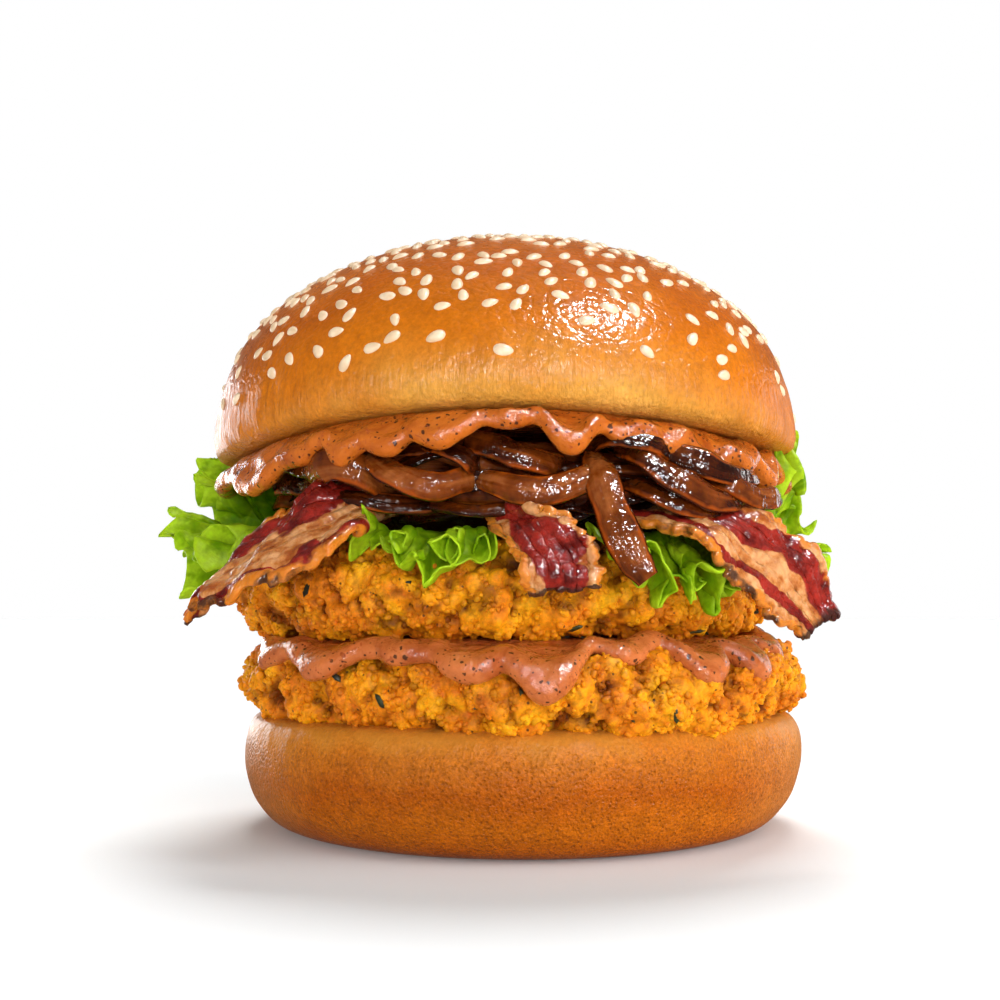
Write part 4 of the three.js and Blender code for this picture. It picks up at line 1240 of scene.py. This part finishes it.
# The large slices at the front, each with its stations of centre and half-width vector
FRONT_SLICES = [
    [((-37.6, -40, 65.5), (-0.6, 0.6, 2.2)), ((-34.5, -45.5, 66.8), (0, 0.9, 3.2)),
     ((-29, -47.8, 66.2), (0.6, 0.96, 3.4)), ((-24.5, -46, 64), (1, 0.84, 2.6)),
     ((-21.5, -40, 62), (1, 0.6, 2))],
    [((-27.4, -42, 70.4), (1.8, 0.36, 1.4)), ((-24, -49, 67), (2.2, 0.72, 2)),
     ((-20, -52.6, 64.2), (1.4, 0.96, 2.8)), ((-15, -53.6, 62.8), (0.2, 0.96, 3)),
     ((-10, -51, 64), (-1.2, 0.72, 2.6)), ((-6.5, -44, 66.4), (-1.6, 0.36, 1.8))],
    [((-18, -43, 71), (0.8, 0.84, 1.6)), ((-15, -50, 70.2), (1, 1.2, 1.8)),
     ((-10, -51.6, 67.8), (1.2, 1.08, 2)), ((-7, -46, 65.8), (1, 0.6, 1.6))],
    [((-12.6, -42, 72), (0.6, 1.2, 1.8)), ((-7.4, -50, 70.4), (1, 1.32, 2.4)),
     ((-1.4, -52.4, 68.2), (1, 1.2, 2.8)), ((4, -51, 66.8), (0.6, 1.08, 2.6)),
     ((7.6, -43, 66.4), (0, 0.6, 2))],
    [((-9.6, -42, 66.6), (0.8, 0.6, 1.8)), ((-6.6, -51, 63.8), (0.8, 0.96, 2.2)),
     ((-1, -55, 61.9), (0.4, 1.08, 2.7)), ((4.6, -55.6, 61.8), (-0.2, 1.08, 2.8)),
     ((9.8, -53.6, 64), (-1.4, 0.84, 2.3)), ((13, -46, 67.4), (-1.8, 0.36, 1.6))],
    [((12.5, -47, 68.5), (2.8, 0, 0.3)), ((12.8, -55, 63), (3.3, 0.36, 0.5)),
     ((15, -58.6, 55), (3.4, 0.48, 1.2)), ((19.6, -60.4, 47.2), (2.7, -0.18, 2))],
    [((15.4, -42, 70.8), (1.2, 0.48, 1.6)), ((19.6, -50.4, 68.4), (1.6, 0.84, 2)),
     ((25, -52.6, 64.6), (1.6, 0.96, 2.4)), ((30.6, -51, 61.6), (1, 0.96, 2.6)),
     ((35.6, -46.5, 61), (-0.2, 0.72, 2.4)), ((38, -38, 62.6), (-0.6, 0.48, 1.8))],
    [((16.4, -44, 65.4), (0.8, 0.6, 1.8)), ((21, -50.5, 62.4), (1, 0.96, 2.2)),
     ((27, -51.5, 59.8), (0.8, 0.96, 2.2)), ((33, -47, 58.8), (0, 0.6, 2))],
    [((29.5, -42, 67), (0.8, 0.6, 1.8)), ((35, -47, 64), (1, 0.84, 2.2)),
     ((40.5, -44, 61.8), (0.4, 0.84, 2.4)), ((45, -36, 62.6), (-0.6, 0.48, 2.2)),
     ((44, -26, 65), (-0.6, 0.24, 1.8))],
    [((9.6, -44, 69.8), (-0.6, 0.72, 1.8)), ((15, -50.6, 71), (0.4, 1.08, 1.9)),
     ((22, -50.4, 70.2), (1, 1.08, 2)), ((27.6, -44, 68), (0.8, 0.6, 1.8))],
    [((20.8, -43, 70.6), (0.8, 0.6, 1.8)), ((27, -49.4, 68), (1.2, 0.96, 2.2)),
     ((33, -48.6, 65.6), (1, 0.84, 2.4)), ((39, -42, 65.6), (-0.4, 0.6, 2.2)),
     ((41, -33, 67.4), (-0.8, 0.24, 1.8))],
    [((-35.6, -38, 62.6), (0.4, 0.6, 1.6)), ((-30, -45, 61.4), (0.6, 0.84, 1.9)),
     ((-22, -47.5, 60.2), (0.6, 0.84, 2)), ((-14, -46, 60.4), (0, 0.72, 1.8))],
    [((-12, -44, 60.6), (0, 0.72, 1.8)), ((-4, -50, 59.8), (0.2, 0.84, 2)),
     ((5, -51, 60.2), (-0.2, 0.84, 2)), ((11, -45, 62), (-0.4, 0.6, 1.8))],
]
FRONT_TONES = [0.66, 0.78, 0.2, 0.42, 0.72, 0.74, 0.5, 0.3, 0.6, 0.15, 0.3, 0.25, 0.3]


def heap_station(angle, reach, z, lean, tall):
    """A slice's station round the heap, as its centre and its half-width vector."""
    ahead, aside = math.cos(angle), math.sin(angle)
    return (reach * ahead + HEAP["x"], reach * aside, z), (lean * ahead, lean * aside, tall)


def rule_slice(i):
    """Round the sides and back: short arcs that cross one another at three heights."""
    start = math.radians(3 + i * 26)
    sweep = math.radians(30 + 10 * draw(i, 11))
    low = 64.4 + 1.9 * (i % 3) + 0.5 * draw(i, 12)
    stations = []
    for k in range(4):
        angle = start + sweep * k / 3
        reach = 38 + 9.5 * math.sin(math.pi * (k + 0.35) / 3.7) + 1.5 * draw(i, 13)
        z = low + (k - 1.5) * mix(-1.1, 1.1, draw(i, 14))
        stations.append(heap_station(angle, reach, z, -1.2, 2.8))
    return stations


def thin_slice(i):
    """A narrow slice that fills in between the large ones."""
    start = TAU * (i * GOLDEN_SHARE % 1)
    sweep = mix(0.4, 0.8, draw(i, 21)) * (1 if draw(i, 22) > 0.5 else -1)
    low = mix(60.5, 70, draw(i, 23))
    tip = mix(-3, 3, draw(i, 24))
    lean = mix(-2.2, 0.6, draw(i, 25))
    stations = []
    for k in range(4):
        angle = start + sweep * k / 3
        reach = 37.5 + 7 * math.sin(math.pi * (k + 0.5) / 4) + 2 * draw(i, 26)
        rise = low + tip * (k / 1.5 - 1)
        stations.append(heap_station(angle, reach, rise, lean, mix(1.8, 2.7, draw(i, 27))))
    return stations


def front_slice(i):
    """A loose slice that lies across the front between the large ones, tipped one way or the other."""
    start = math.radians(216 + 108 * ((i * GOLDEN_SHARE + 0.2) % 1))
    sweep = math.radians(mix(14, 26, draw(i, 31))) * (1 if i % 2 else -1)
    low = mix(60.5, 70.5, draw(i, 32))
    tip = mix(-7, 7, draw(i, 33))
    lean = mix(-2.2, 0.6, draw(i, 34))
    stations = []
    for k in range(5):
        angle = start + sweep * (k / 2 - 1)
        reach = 43 + 5 * math.sin(math.pi * (k + 0.3) / 4.6) + 4.4 * draw(i, 35)
        rise = low + tip * (k / 2 - 1) - mix(-1, 4, draw(i, 38)) * math.sin(math.pi * k / 4)
        stations.append(heap_station(angle, reach, rise, lean, mix(1.5, 2.2, draw(i, 36))))
    return stations


def slice_sheet(stations, number, tone, thickness, rim=1.0):
    """One slice, narrow and thin at its ends. `number` tells its noise apart, and `rim` its edge's glow."""
    middle = ribbon(stations, 0.32, 0, 5, 0)
    u, side = sheet_shares(*SHEET_GRID["slice"], -1)
    ends = np.minimum(u, 1 - u)
    narrow = mix(0.66, 0.9, smooth(0, 0.12, ends))
    line = joined(u * 40, np.sign(side) * 20, number * 17)
    grid = middle(u, side * narrow * (0.92 + 0.13 * soft_noise(line, 5, 61)))
    normal = grid_normals(grid, closed_round=False)
    ribs = 0.09 * np.sin(10 * side + 1.3 * soft_noise(line, 8, 62) + number)
    curl = 0.9 * side * soft_noise(joined(u * 30, 0, number * 9), 9, 66)
    grid = grid + normal * (ribs + curl + 0.4 * soft_noise(grid, 4, 63))[..., None]
    body = np.sqrt(np.clip(1 - np.abs(side) ** 6, 0, 1)) * np.sqrt(np.clip(ends / 0.03, 0, 1))
    thick = mix(0.3, 0.8 * thickness, body) * mix(0.75, 1.15, 0.5 + 0.5 * soft_noise(line, 9, 64))
    shade = tone + 0.12 + 0.2 * soft_noise(line, 10, 65)
    shade = shade - 0.25 * smooth(0.12, 0, ends) - 0.3 * np.abs(side) ** 2
    uv = np.stack([u, side * 0.5 + number], axis=-1)
    return sheet_parts(grid, thick, uv, {"edge": rim * np.abs(side), "tone": shade})


def onion_core(name):
    radius, low, high = HEAP["radius"], HEAP["low"], HEAP["high"]
    profile = [[0, low], [radius - 1.5, low], [radius, mix(low, high, 0.3)], [radius, mix(low, high, 0.7)]]
    profile += [[radius - 5, high], [0, high]]

    def move(grid, angle):
        reach = np.maximum(from_axis(grid), 1)
        bulge = 2.4 * granules(grid, 9, 71) + 1.2 * granules(grid, 4, 72) - 1.6
        wide = 1 + 0.05 * lumps(grid, 9, 1.3) + bulge * smooth(30, 38, reach) / reach
        return widened(grid, wide, HEAP["x"], grid[..., 2])

    # The core's tone sits near the burnt end of the ramp: painted shade for the gaps between the slices
    def gap_shade_tone(grid):
        return 0.02 + 0.15 * soft_noise(grid, 6, 73)

    marks = {"edge": no_mark, "tone": gap_shade_tone}
    return turned(name, fine_profile(profile, SPACING["core"]), SIDES["core"], move, marks)


# The stage

# The floor's half-width in millimetres, the even light's strength, and two points that lamps aim at
FLOOR_REACH = 4000
WORLD_STRENGTH = 0.12
TOP_BUN, MIDDLE = (0.011, -0.053, 0.092), (0.0, 0.0, 0.06)
# Each lamp's name, kind, place, aim, width or angle, power, and the rays that see it
LAMPS = [
    ("glint_key", "SUN", (0.24, -0.18, 0.63), TOP_BUN, math.radians(9), 5.0, "glossy"),
    ("glint_front", "AREA", (0.16, -0.66, 0.34), MIDDLE, 0.10, 3.0, "glossy"),
    ("glint_low", "AREA", (-0.24, -0.62, 0.16), MIDDLE, 0.06, 0.8, "glossy"),
    ("glint_small", "AREA", (0.20, -0.62, 0.12), MIDDLE, 0.05, 0.7, "glossy"),
    ("glint_left", "AREA", (-0.30, 0.38, 0.10), MIDDLE, 0.2, 0.8, "glossy"),
    ("glint_right", "AREA", (0.36, 0.30, 0.12), MIDDLE, 0.2, 0.2, "glossy"),
    ("soft_key", "SUN", (0.30, -0.38, 0.70), MIDDLE, math.radians(60), 1.0, "diffuse"),
    ("soft_top", "SUN", (0.05, 0.44, 0.90), MIDDLE, math.radians(30), 2.95, "diffuse"),
    ("soft_front", "AREA", (0.12, -0.70, 0.10), MIDDLE, 0.4, 3.3, "diffuse"),
    ("soft_left", "AREA", (-0.55, -0.20, 0.06), (-0.02, 0, 0.015), 0.3, 1.2, "diffuse"),
    ("soft_right", "AREA", (0.55, -0.20, 0.08), (0.02, 0, 0.02), 0.3, 2.8, "diffuse"),
]
# Place in metres, upward tilt in degrees, lens and sensor in millimetres
CAMERA_PLACE = (-0.0041, -0.2838, 0.0433)
CAMERA_TILT = 4.32
LENS_LENGTH, SENSOR_WIDTH = 50, 36


# What a user may change


class BunSettings(bpy.types.PropertyGroup):
    top_colour: bpy.props.FloatVectorProperty(
        name="Top crust", description="Colour of the glazed crust", subtype="COLOR", size=3,
        min=0, max=1, default=(0.56, 0.148, 0.004))
    bottom_colour: bpy.props.FloatVectorProperty(
        name="Bottom crust", description="Colour of the bottom bun's crust", subtype="COLOR", size=3,
        min=0, max=1, default=(0.46, 0.112, 0.002))
    pale_colour: bpy.props.FloatVectorProperty(
        name="Pale band", description="Colour of the soft band beside the cut", subtype="COLOR", size=3,
        min=0, max=1, default=(0.61, 0.27, 0.038))
    seeds: bpy.props.IntProperty(
        name="Seeds", description="How many sesame seeds lie on the top bun", min=20, max=800, default=520)
    seed_length: bpy.props.FloatProperty(
        name="Seed length", description="Length of a sesame seed", unit="LENGTH", default=0.0033)
    seed_width: bpy.props.FloatProperty(
        name="Seed width", description="Width of a sesame seed", unit="LENGTH", default=0.0021)
    seed_thickness: bpy.props.FloatProperty(
        name="Seed thickness", description="Thickness of a sesame seed", unit="LENGTH", default=0.0016)
    seed_colour: bpy.props.FloatVectorProperty(
        name="Seed", description="Colour of a sesame seed", subtype="COLOR", size=3,
        min=0, max=1, default=(0.82, 0.64, 0.44))


class PattySettings(bpy.types.PropertyGroup):
    clump: bpy.props.FloatProperty(
        name="Clump", description="Size of the breading's clumps", unit="LENGTH", default=0.0072)
    clump_height: bpy.props.FloatProperty(
        name="Clump height", description="How far a clump stands out", unit="LENGTH", default=0.0030)
    nodule: bpy.props.FloatProperty(
        name="Nodule", description="Size of the nodules on the clumps", unit="LENGTH", default=0.003)
    nodule_height: bpy.props.FloatProperty(
        name="Nodule height", description="How far a nodule stands out", unit="LENGTH", default=0.0018)
    crumb: bpy.props.FloatProperty(
        name="Crumb", description="Size of the finest crumbs", unit="LENGTH", default=0.0014)
    crumb_height: bpy.props.FloatProperty(
        name="Crumb height", description="How far a crumb stands out", unit="LENGTH", default=0.00095)
    gold_colour: bpy.props.FloatVectorProperty(
        name="Golden", description="Main colour of the breading", subtype="COLOR", size=3,
        min=0, max=1, default=(0.84, 0.31, 0.005))
    bright_colour: bpy.props.FloatVectorProperty(
        name="Bright", description="Colour of the breading's yellowest patches", subtype="COLOR", size=3,
        min=0, max=1, default=(0.95, 0.45, 0.008))
    toasted_colour: bpy.props.FloatVectorProperty(
        name="Toasted", description="Colour of the breading's browned patches", subtype="COLOR", size=3,
        min=0, max=1, default=(0.50, 0.13, 0.006))


class SauceSettings(bpy.types.PropertyGroup):
    upper_colour: bpy.props.FloatVectorProperty(
        name="Upper sauce", description="Colour of the sauce under the top bun", subtype="COLOR", size=3,
        min=0, max=1, default=(0.50, 0.118, 0.010))
    lower_colour: bpy.props.FloatVectorProperty(
        name="Lower sauce", description="Colour of the sauce between the patties", subtype="COLOR", size=3,
        min=0, max=1, default=(0.53, 0.14, 0.034))
    swell: bpy.props.FloatProperty(
        name="Swell", description="Depth of the sauce's soft swells", unit="LENGTH", default=0.00075)


class LeafSettings(bpy.types.PropertyGroup):
    ruffle: bpy.props.FloatProperty(
        name="Ruffle", description="Depth of the leaf's wide ruffles", unit="LENGTH", default=0.0026)
    frill: bpy.props.FloatProperty(
        name="Frill", description="Depth of the fine frill at the leaf's edge", unit="LENGTH",
        default=0.0033)
    green_colour: bpy.props.FloatVectorProperty(
        name="Green", description="Main colour of the leaf", subtype="COLOR", size=3,
        min=0, max=1, default=(0.32, 0.53, 0.004))
    pale_colour: bpy.props.FloatVectorProperty(
        name="Pale green", description="Colour of the leaf's ribs and inner part", subtype="COLOR", size=3,
        min=0, max=1, default=(0.54, 0.76, 0.02))


class BaconSettings(bpy.types.PropertyGroup):
    thickness: bpy.props.FloatProperty(
        name="Thickness", description="Thickness of a rasher", unit="LENGTH", default=0.002)
    lean_colour: bpy.props.FloatVectorProperty(
        name="Lean", description="Colour of the lean streaks", subtype="COLOR", size=3,
        min=0, max=1, default=(0.23, 0.013, 0.007))
    fat_colour: bpy.props.FloatVectorProperty(
        name="Fat", description="Colour of the fried fat", subtype="COLOR", size=3,
        min=0, max=1, default=(0.50, 0.175, 0.04))


class OnionSettings(bpy.types.PropertyGroup):
    thickness: bpy.props.FloatProperty(
        name="Thickness", description="Thickness of an onion slice", unit="LENGTH", default=0.0013)
    thin_slices: bpy.props.IntProperty(
        name="Thin slices", description="How many narrow slices fill in the heap",
        min=0, max=60, default=24)
    front_slices: bpy.props.IntProperty(
        name="Front slices", description="How many loose slices lie across the front",
        min=0, max=60, default=24)
    brown_colour: bpy.props.FloatVectorProperty(
        name="Brown", description="Main colour of the cooked onion", subtype="COLOR", size=3,
        min=0, max=1, default=(0.05, 0.008, 0.001))
    amber_colour: bpy.props.FloatVectorProperty(
        name="Amber", description="Colour of the less cooked onion", subtype="COLOR", size=3,
        min=0, max=1, default=(0.17, 0.034, 0.003))
    clear_colour: bpy.props.FloatVectorProperty(
        name="Clear", description="Colour of the palest onion", subtype="COLOR", size=3,
        min=0, max=1, default=(0.33, 0.095, 0.02))


class StageSettings(bpy.types.PropertyGroup):
    floor_colour: bpy.props.FloatVectorProperty(
        name="Floor", description="Colour of the plain floor", subtype="COLOR", size=3,
        min=0, max=1, default=(0.77, 0.785, 0.79))
    light: bpy.props.FloatProperty(
        name="Light", description="Strength of all the lights together", min=0, default=1.0)


SETTINGS = {
    "burger_bun": BunSettings,
    "burger_patty": PattySettings,
    "burger_sauce": SauceSettings,
    "burger_leaf": LeafSettings,
    "burger_bacon": BaconSettings,
    "burger_onion": OnionSettings,
    "burger_stage": StageSettings,
}


# What is built


class BURGER_OT_buns(bpy.types.Operator):
    """Makes the crusts of the two buns"""

    bl_idname = "burger.buns"
    bl_label = "Buns"

    def execute(self, context):
        settings = context.scene.burger_bun
        pale = tuple(settings.pale_colour)
        bottom = heel("crust_bottom")
        bottom.data.materials.append(bottom_crust_finish(tuple(settings.bottom_colour), pale))
        finish_piece(bottom, "bun_pale", "bun_bottom")
        top = lid("crust_top")
        top.data.materials.append(top_crust_finish(tuple(settings.top_colour), pale))
        finish_piece(top, "bun_crust", "bun_top")
        return {"FINISHED"}


class BURGER_OT_seeds(bpy.types.Operator):
    """Lays sesame seeds on the top bun"""

    bl_idname = "burger.seeds"
    bl_label = "Sesame seeds"

    def execute(self, context):
        settings = context.scene.burger_bun
        seeds = seed_points("sesame_seeds", settings.seeds)
        values = {
            "Length": settings.seed_length,
            "Width": settings.seed_width,
            "Thickness": settings.seed_thickness,
            "Material": seed_finish(settings),
        }
        run_tree(seeds, seed_tree(), values)
        finish_piece(seeds, "bun_crust")
        return {"FINISHED"}


class BURGER_OT_patties(bpy.types.Operator):
    """Makes the two breaded patties with their loose crumbs and herbs"""

    bl_idname = "burger.patties"
    bl_label = "Patties"

    def execute(self, context):
        settings = context.scene.burger_patty
        finish = breading_finish(settings)
        crags, grains = breading_tree(), scatter_tree()
        values = {
            "Clump": settings.clump,
            "Clump height": settings.clump_height,
            "Nodule": settings.nodule,
            "Nodule height": settings.nodule_height,
            "Crumb": settings.crumb,
            "Crumb height": settings.crumb_height,
            "Material": finish,
        }
        herb = herb_finish()
        plans = [("lower", LOWER_PATTY, under_lower_sauce), ("upper", UPPER_PATTY, no_mark)]
        for number, (place, spec, covered) in enumerate(plans):
            body = patty(f"breading_{place}", spec, covered)
            run_tree(body, crags, values)
            crumbs = bpy.data.objects.new(f"crumbs_{place}", body.data.copy())
            herbs = bpy.data.objects.new(f"herbs_{place}", body.data.copy())
            for piece in (crumbs, herbs):
                ROOT_COLLECTION.objects.link(piece)
            run_tree(crumbs, grains, {**CRUMB_GRAINS, "Seed": 11 + number, "Material": finish})
            run_tree(herbs, grains, {**HERB_GRAINS, "Seed": 31 + number, "Material": herb})
            finish_piece(body, "breading", f"patty_{place}")
            finish_piece(crumbs, "breading")
            finish_piece(herbs, "breading")
        return {"FINISHED"}


class BURGER_OT_sauces(bpy.types.Operator):
    """Makes the sauce between the patties and the sauce under the top bun"""

    bl_idname = "burger.sauces"
    bl_label = "Sauces"

    def execute(self, context):
        settings = context.scene.burger_sauce
        swell = settings.swell / MM
        lower = sauce_layer("sauce_between", LOWER_SAUCE, swell)
        lower.data.materials.append(sauce_finish("pink_sauce", settings.lower_colour, 0.24))
        finish_piece(lower, "sauce", "sauce_lower")
        upper = sauce_layer("sauce_on_top", UPPER_SAUCE, swell)
        upper.data.materials.append(sauce_finish("pepper_sauce", settings.upper_colour, 0.22))
        finish_piece(upper, "sauce", "sauce_upper")
        return {"FINISHED"}


class BURGER_OT_lettuce(bpy.types.Operator):
    """Makes the two frilled lettuce leaves"""

    bl_idname = "burger.lettuce"
    bl_label = "Lettuce"

    def execute(self, context):
        settings = context.scene.burger_leaf
        finish = leaf_finish(settings)
        for side, edge, phase in (("left", LEFT_EDGE, 0.4), ("right", RIGHT_EDGE, 2.2)):
            piece = leaf(f"leaf_{side}", edge, phase, settings)
            piece.data.materials.append(finish)
            finish_piece(piece, "lettuce", f"lettuce_{side}")
        return {"FINISHED"}


class BURGER_OT_bacon(bpy.types.Operator):
    """Makes the three rashers of fried bacon"""

    bl_idname = "burger.bacon"
    bl_label = "Bacon"

    def execute(self, context):
        settings = context.scene.burger_bacon
        finish = bacon_finish(settings)
        rashers = {"left": BACON_LEFT, "middle": BACON_MIDDLE, "right": BACON_RIGHT}
        for number, (place, stations) in enumerate(rashers.items()):
            piece = rasher(f"rasher_{place}", stations, number, settings)
            piece.data.materials.append(finish)
            finish_piece(piece, "bacon", f"bacon_{place}")
        return {"FINISHED"}


class BURGER_OT_onions(bpy.types.Operator):
    """Makes the heap of caramelised onions: a core and the slices that lie over it"""

    bl_idname = "burger.onions"
    bl_label = "Onions"

    def execute(self, context):
        settings = context.scene.burger_onion
        finish = onion_finish(settings)
        thickness = settings.thickness / MM
        sheets = [slice_sheet(s, i, FRONT_TONES[i], thickness) for i, s in enumerate(FRONT_SLICES)]
        for i in range(SIDE_SLICES):
            sheets.append(slice_sheet(rule_slice(i), 10 + i, mix(0.3, 0.75, draw(i, 15)), thickness))
        for i in range(settings.thin_slices):
            tone = mix(0.1, 0.6, draw(i, 28))
            sheets.append(slice_sheet(thin_slice(i), 30 + i, tone, 0.8 * thickness, 0.6))
        for i in range(settings.front_slices):
            tone = mix(0.2, 0.75, draw(i, 37))
            sheets.append(slice_sheet(front_slice(i), 80 + i, tone, 0.85 * thickness, 0.66))
        slices = new_sheets("onion_slices", sheets)
        core = onion_core("onion_core")
        for piece in (slices, core):
            piece.data.materials.append(finish)
        finish_piece(core, "onion", "caramelised_onions")
        finish_piece(slices, "onion")
        return {"FINISHED"}


class BURGER_OT_stage(bpy.types.Operator):
    """Makes the floor, the lights and the camera"""

    bl_idname = "burger.stage"
    bl_label = "Stage"

    def execute(self, context):
        settings = context.scene.burger_stage
        corners = [(x * FLOOR_REACH, y * FLOOR_REACH, 0) for x, y in ((-1, -1), (1, -1), (1, 1), (-1, 1))]
        floor = new_object("floor", corners, [(0, 1, 2, 3)])
        floor.data.materials.append(floor_finish(settings.floor_colour))
        floor.visible_glossy = False
        context.scene.world = studio_world(WORLD_STRENGTH * settings.light)
        context.scene.view_settings.view_transform = "Standard"
        for name, kind, place, aim, size, power, use in LAMPS:
            light = bpy.data.lights.new(name, kind)
            light.energy = power * settings.light
            if kind == "SUN":
                light.angle = size
            else:
                light.size = size
            lamp = bpy.data.objects.new(name, light)
            lamp.location = place
            lamp.rotation_euler = (Vector(aim) - Vector(place)).to_track_quat("-Z", "Y").to_euler()
            lamp.visible_glossy = use == "glossy"
            lamp.visible_diffuse = use == "diffuse"
            ROOT_COLLECTION.objects.link(lamp)
        lens = bpy.data.cameras.new("camera")
        lens.lens = LENS_LENGTH
        lens.sensor_width = SENSOR_WIDTH
        lens.clip_start = 0.01
        camera = bpy.data.objects.new("camera", lens)
        camera.location = CAMERA_PLACE
        camera.rotation_euler = (math.radians(90 + CAMERA_TILT), 0, 0)
        ROOT_COLLECTION.objects.link(camera)
        context.scene.camera = camera
        return {"FINISHED"}


OPERATORS = [
    BURGER_OT_stage,
    BURGER_OT_buns,
    BURGER_OT_seeds,
    BURGER_OT_patties,
    BURGER_OT_sauces,
    BURGER_OT_lettuce,
    BURGER_OT_bacon,
    BURGER_OT_onions,
]


class BURGER_PT_panel(bpy.types.Panel):
    """Lists the burger's pieces and settings"""

    bl_idname = "BURGER_PT_panel"
    bl_label = "Chicken burger"
    bl_space_type = "VIEW_3D"
    bl_region_type = "UI"
    bl_category = "Burger"

    def draw(self, context):
        for operator in OPERATORS:
            self.layout.operator(operator.bl_idname)
        for name, group in SETTINGS.items():
            box = self.layout.box()
            for setting in group.__annotations__:
                box.prop(getattr(context.scene, name), setting)


CLASSES = [*SETTINGS.values(), *OPERATORS, BURGER_PT_panel]


def register():
    for made in CLASSES:
        bpy.utils.register_class(made)
    for name, group in SETTINGS.items():
        setattr(bpy.types.Scene, name, bpy.props.PointerProperty(type=group))


def unregister():
    for name in SETTINGS:
        delattr(bpy.types.Scene, name)
    for made in reversed(CLASSES):
        bpy.utils.unregister_class(made)


def main():
    register()
    bpy.ops.burger.stage()
    bpy.ops.burger.buns()
    bpy.ops.burger.seeds()
    bpy.ops.burger.patties()
    bpy.ops.burger.sauces()
    bpy.ops.burger.lettuce()
    bpy.ops.burger.bacon()
    bpy.ops.burger.onions()
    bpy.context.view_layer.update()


if __name__ == "__main__":
    main()
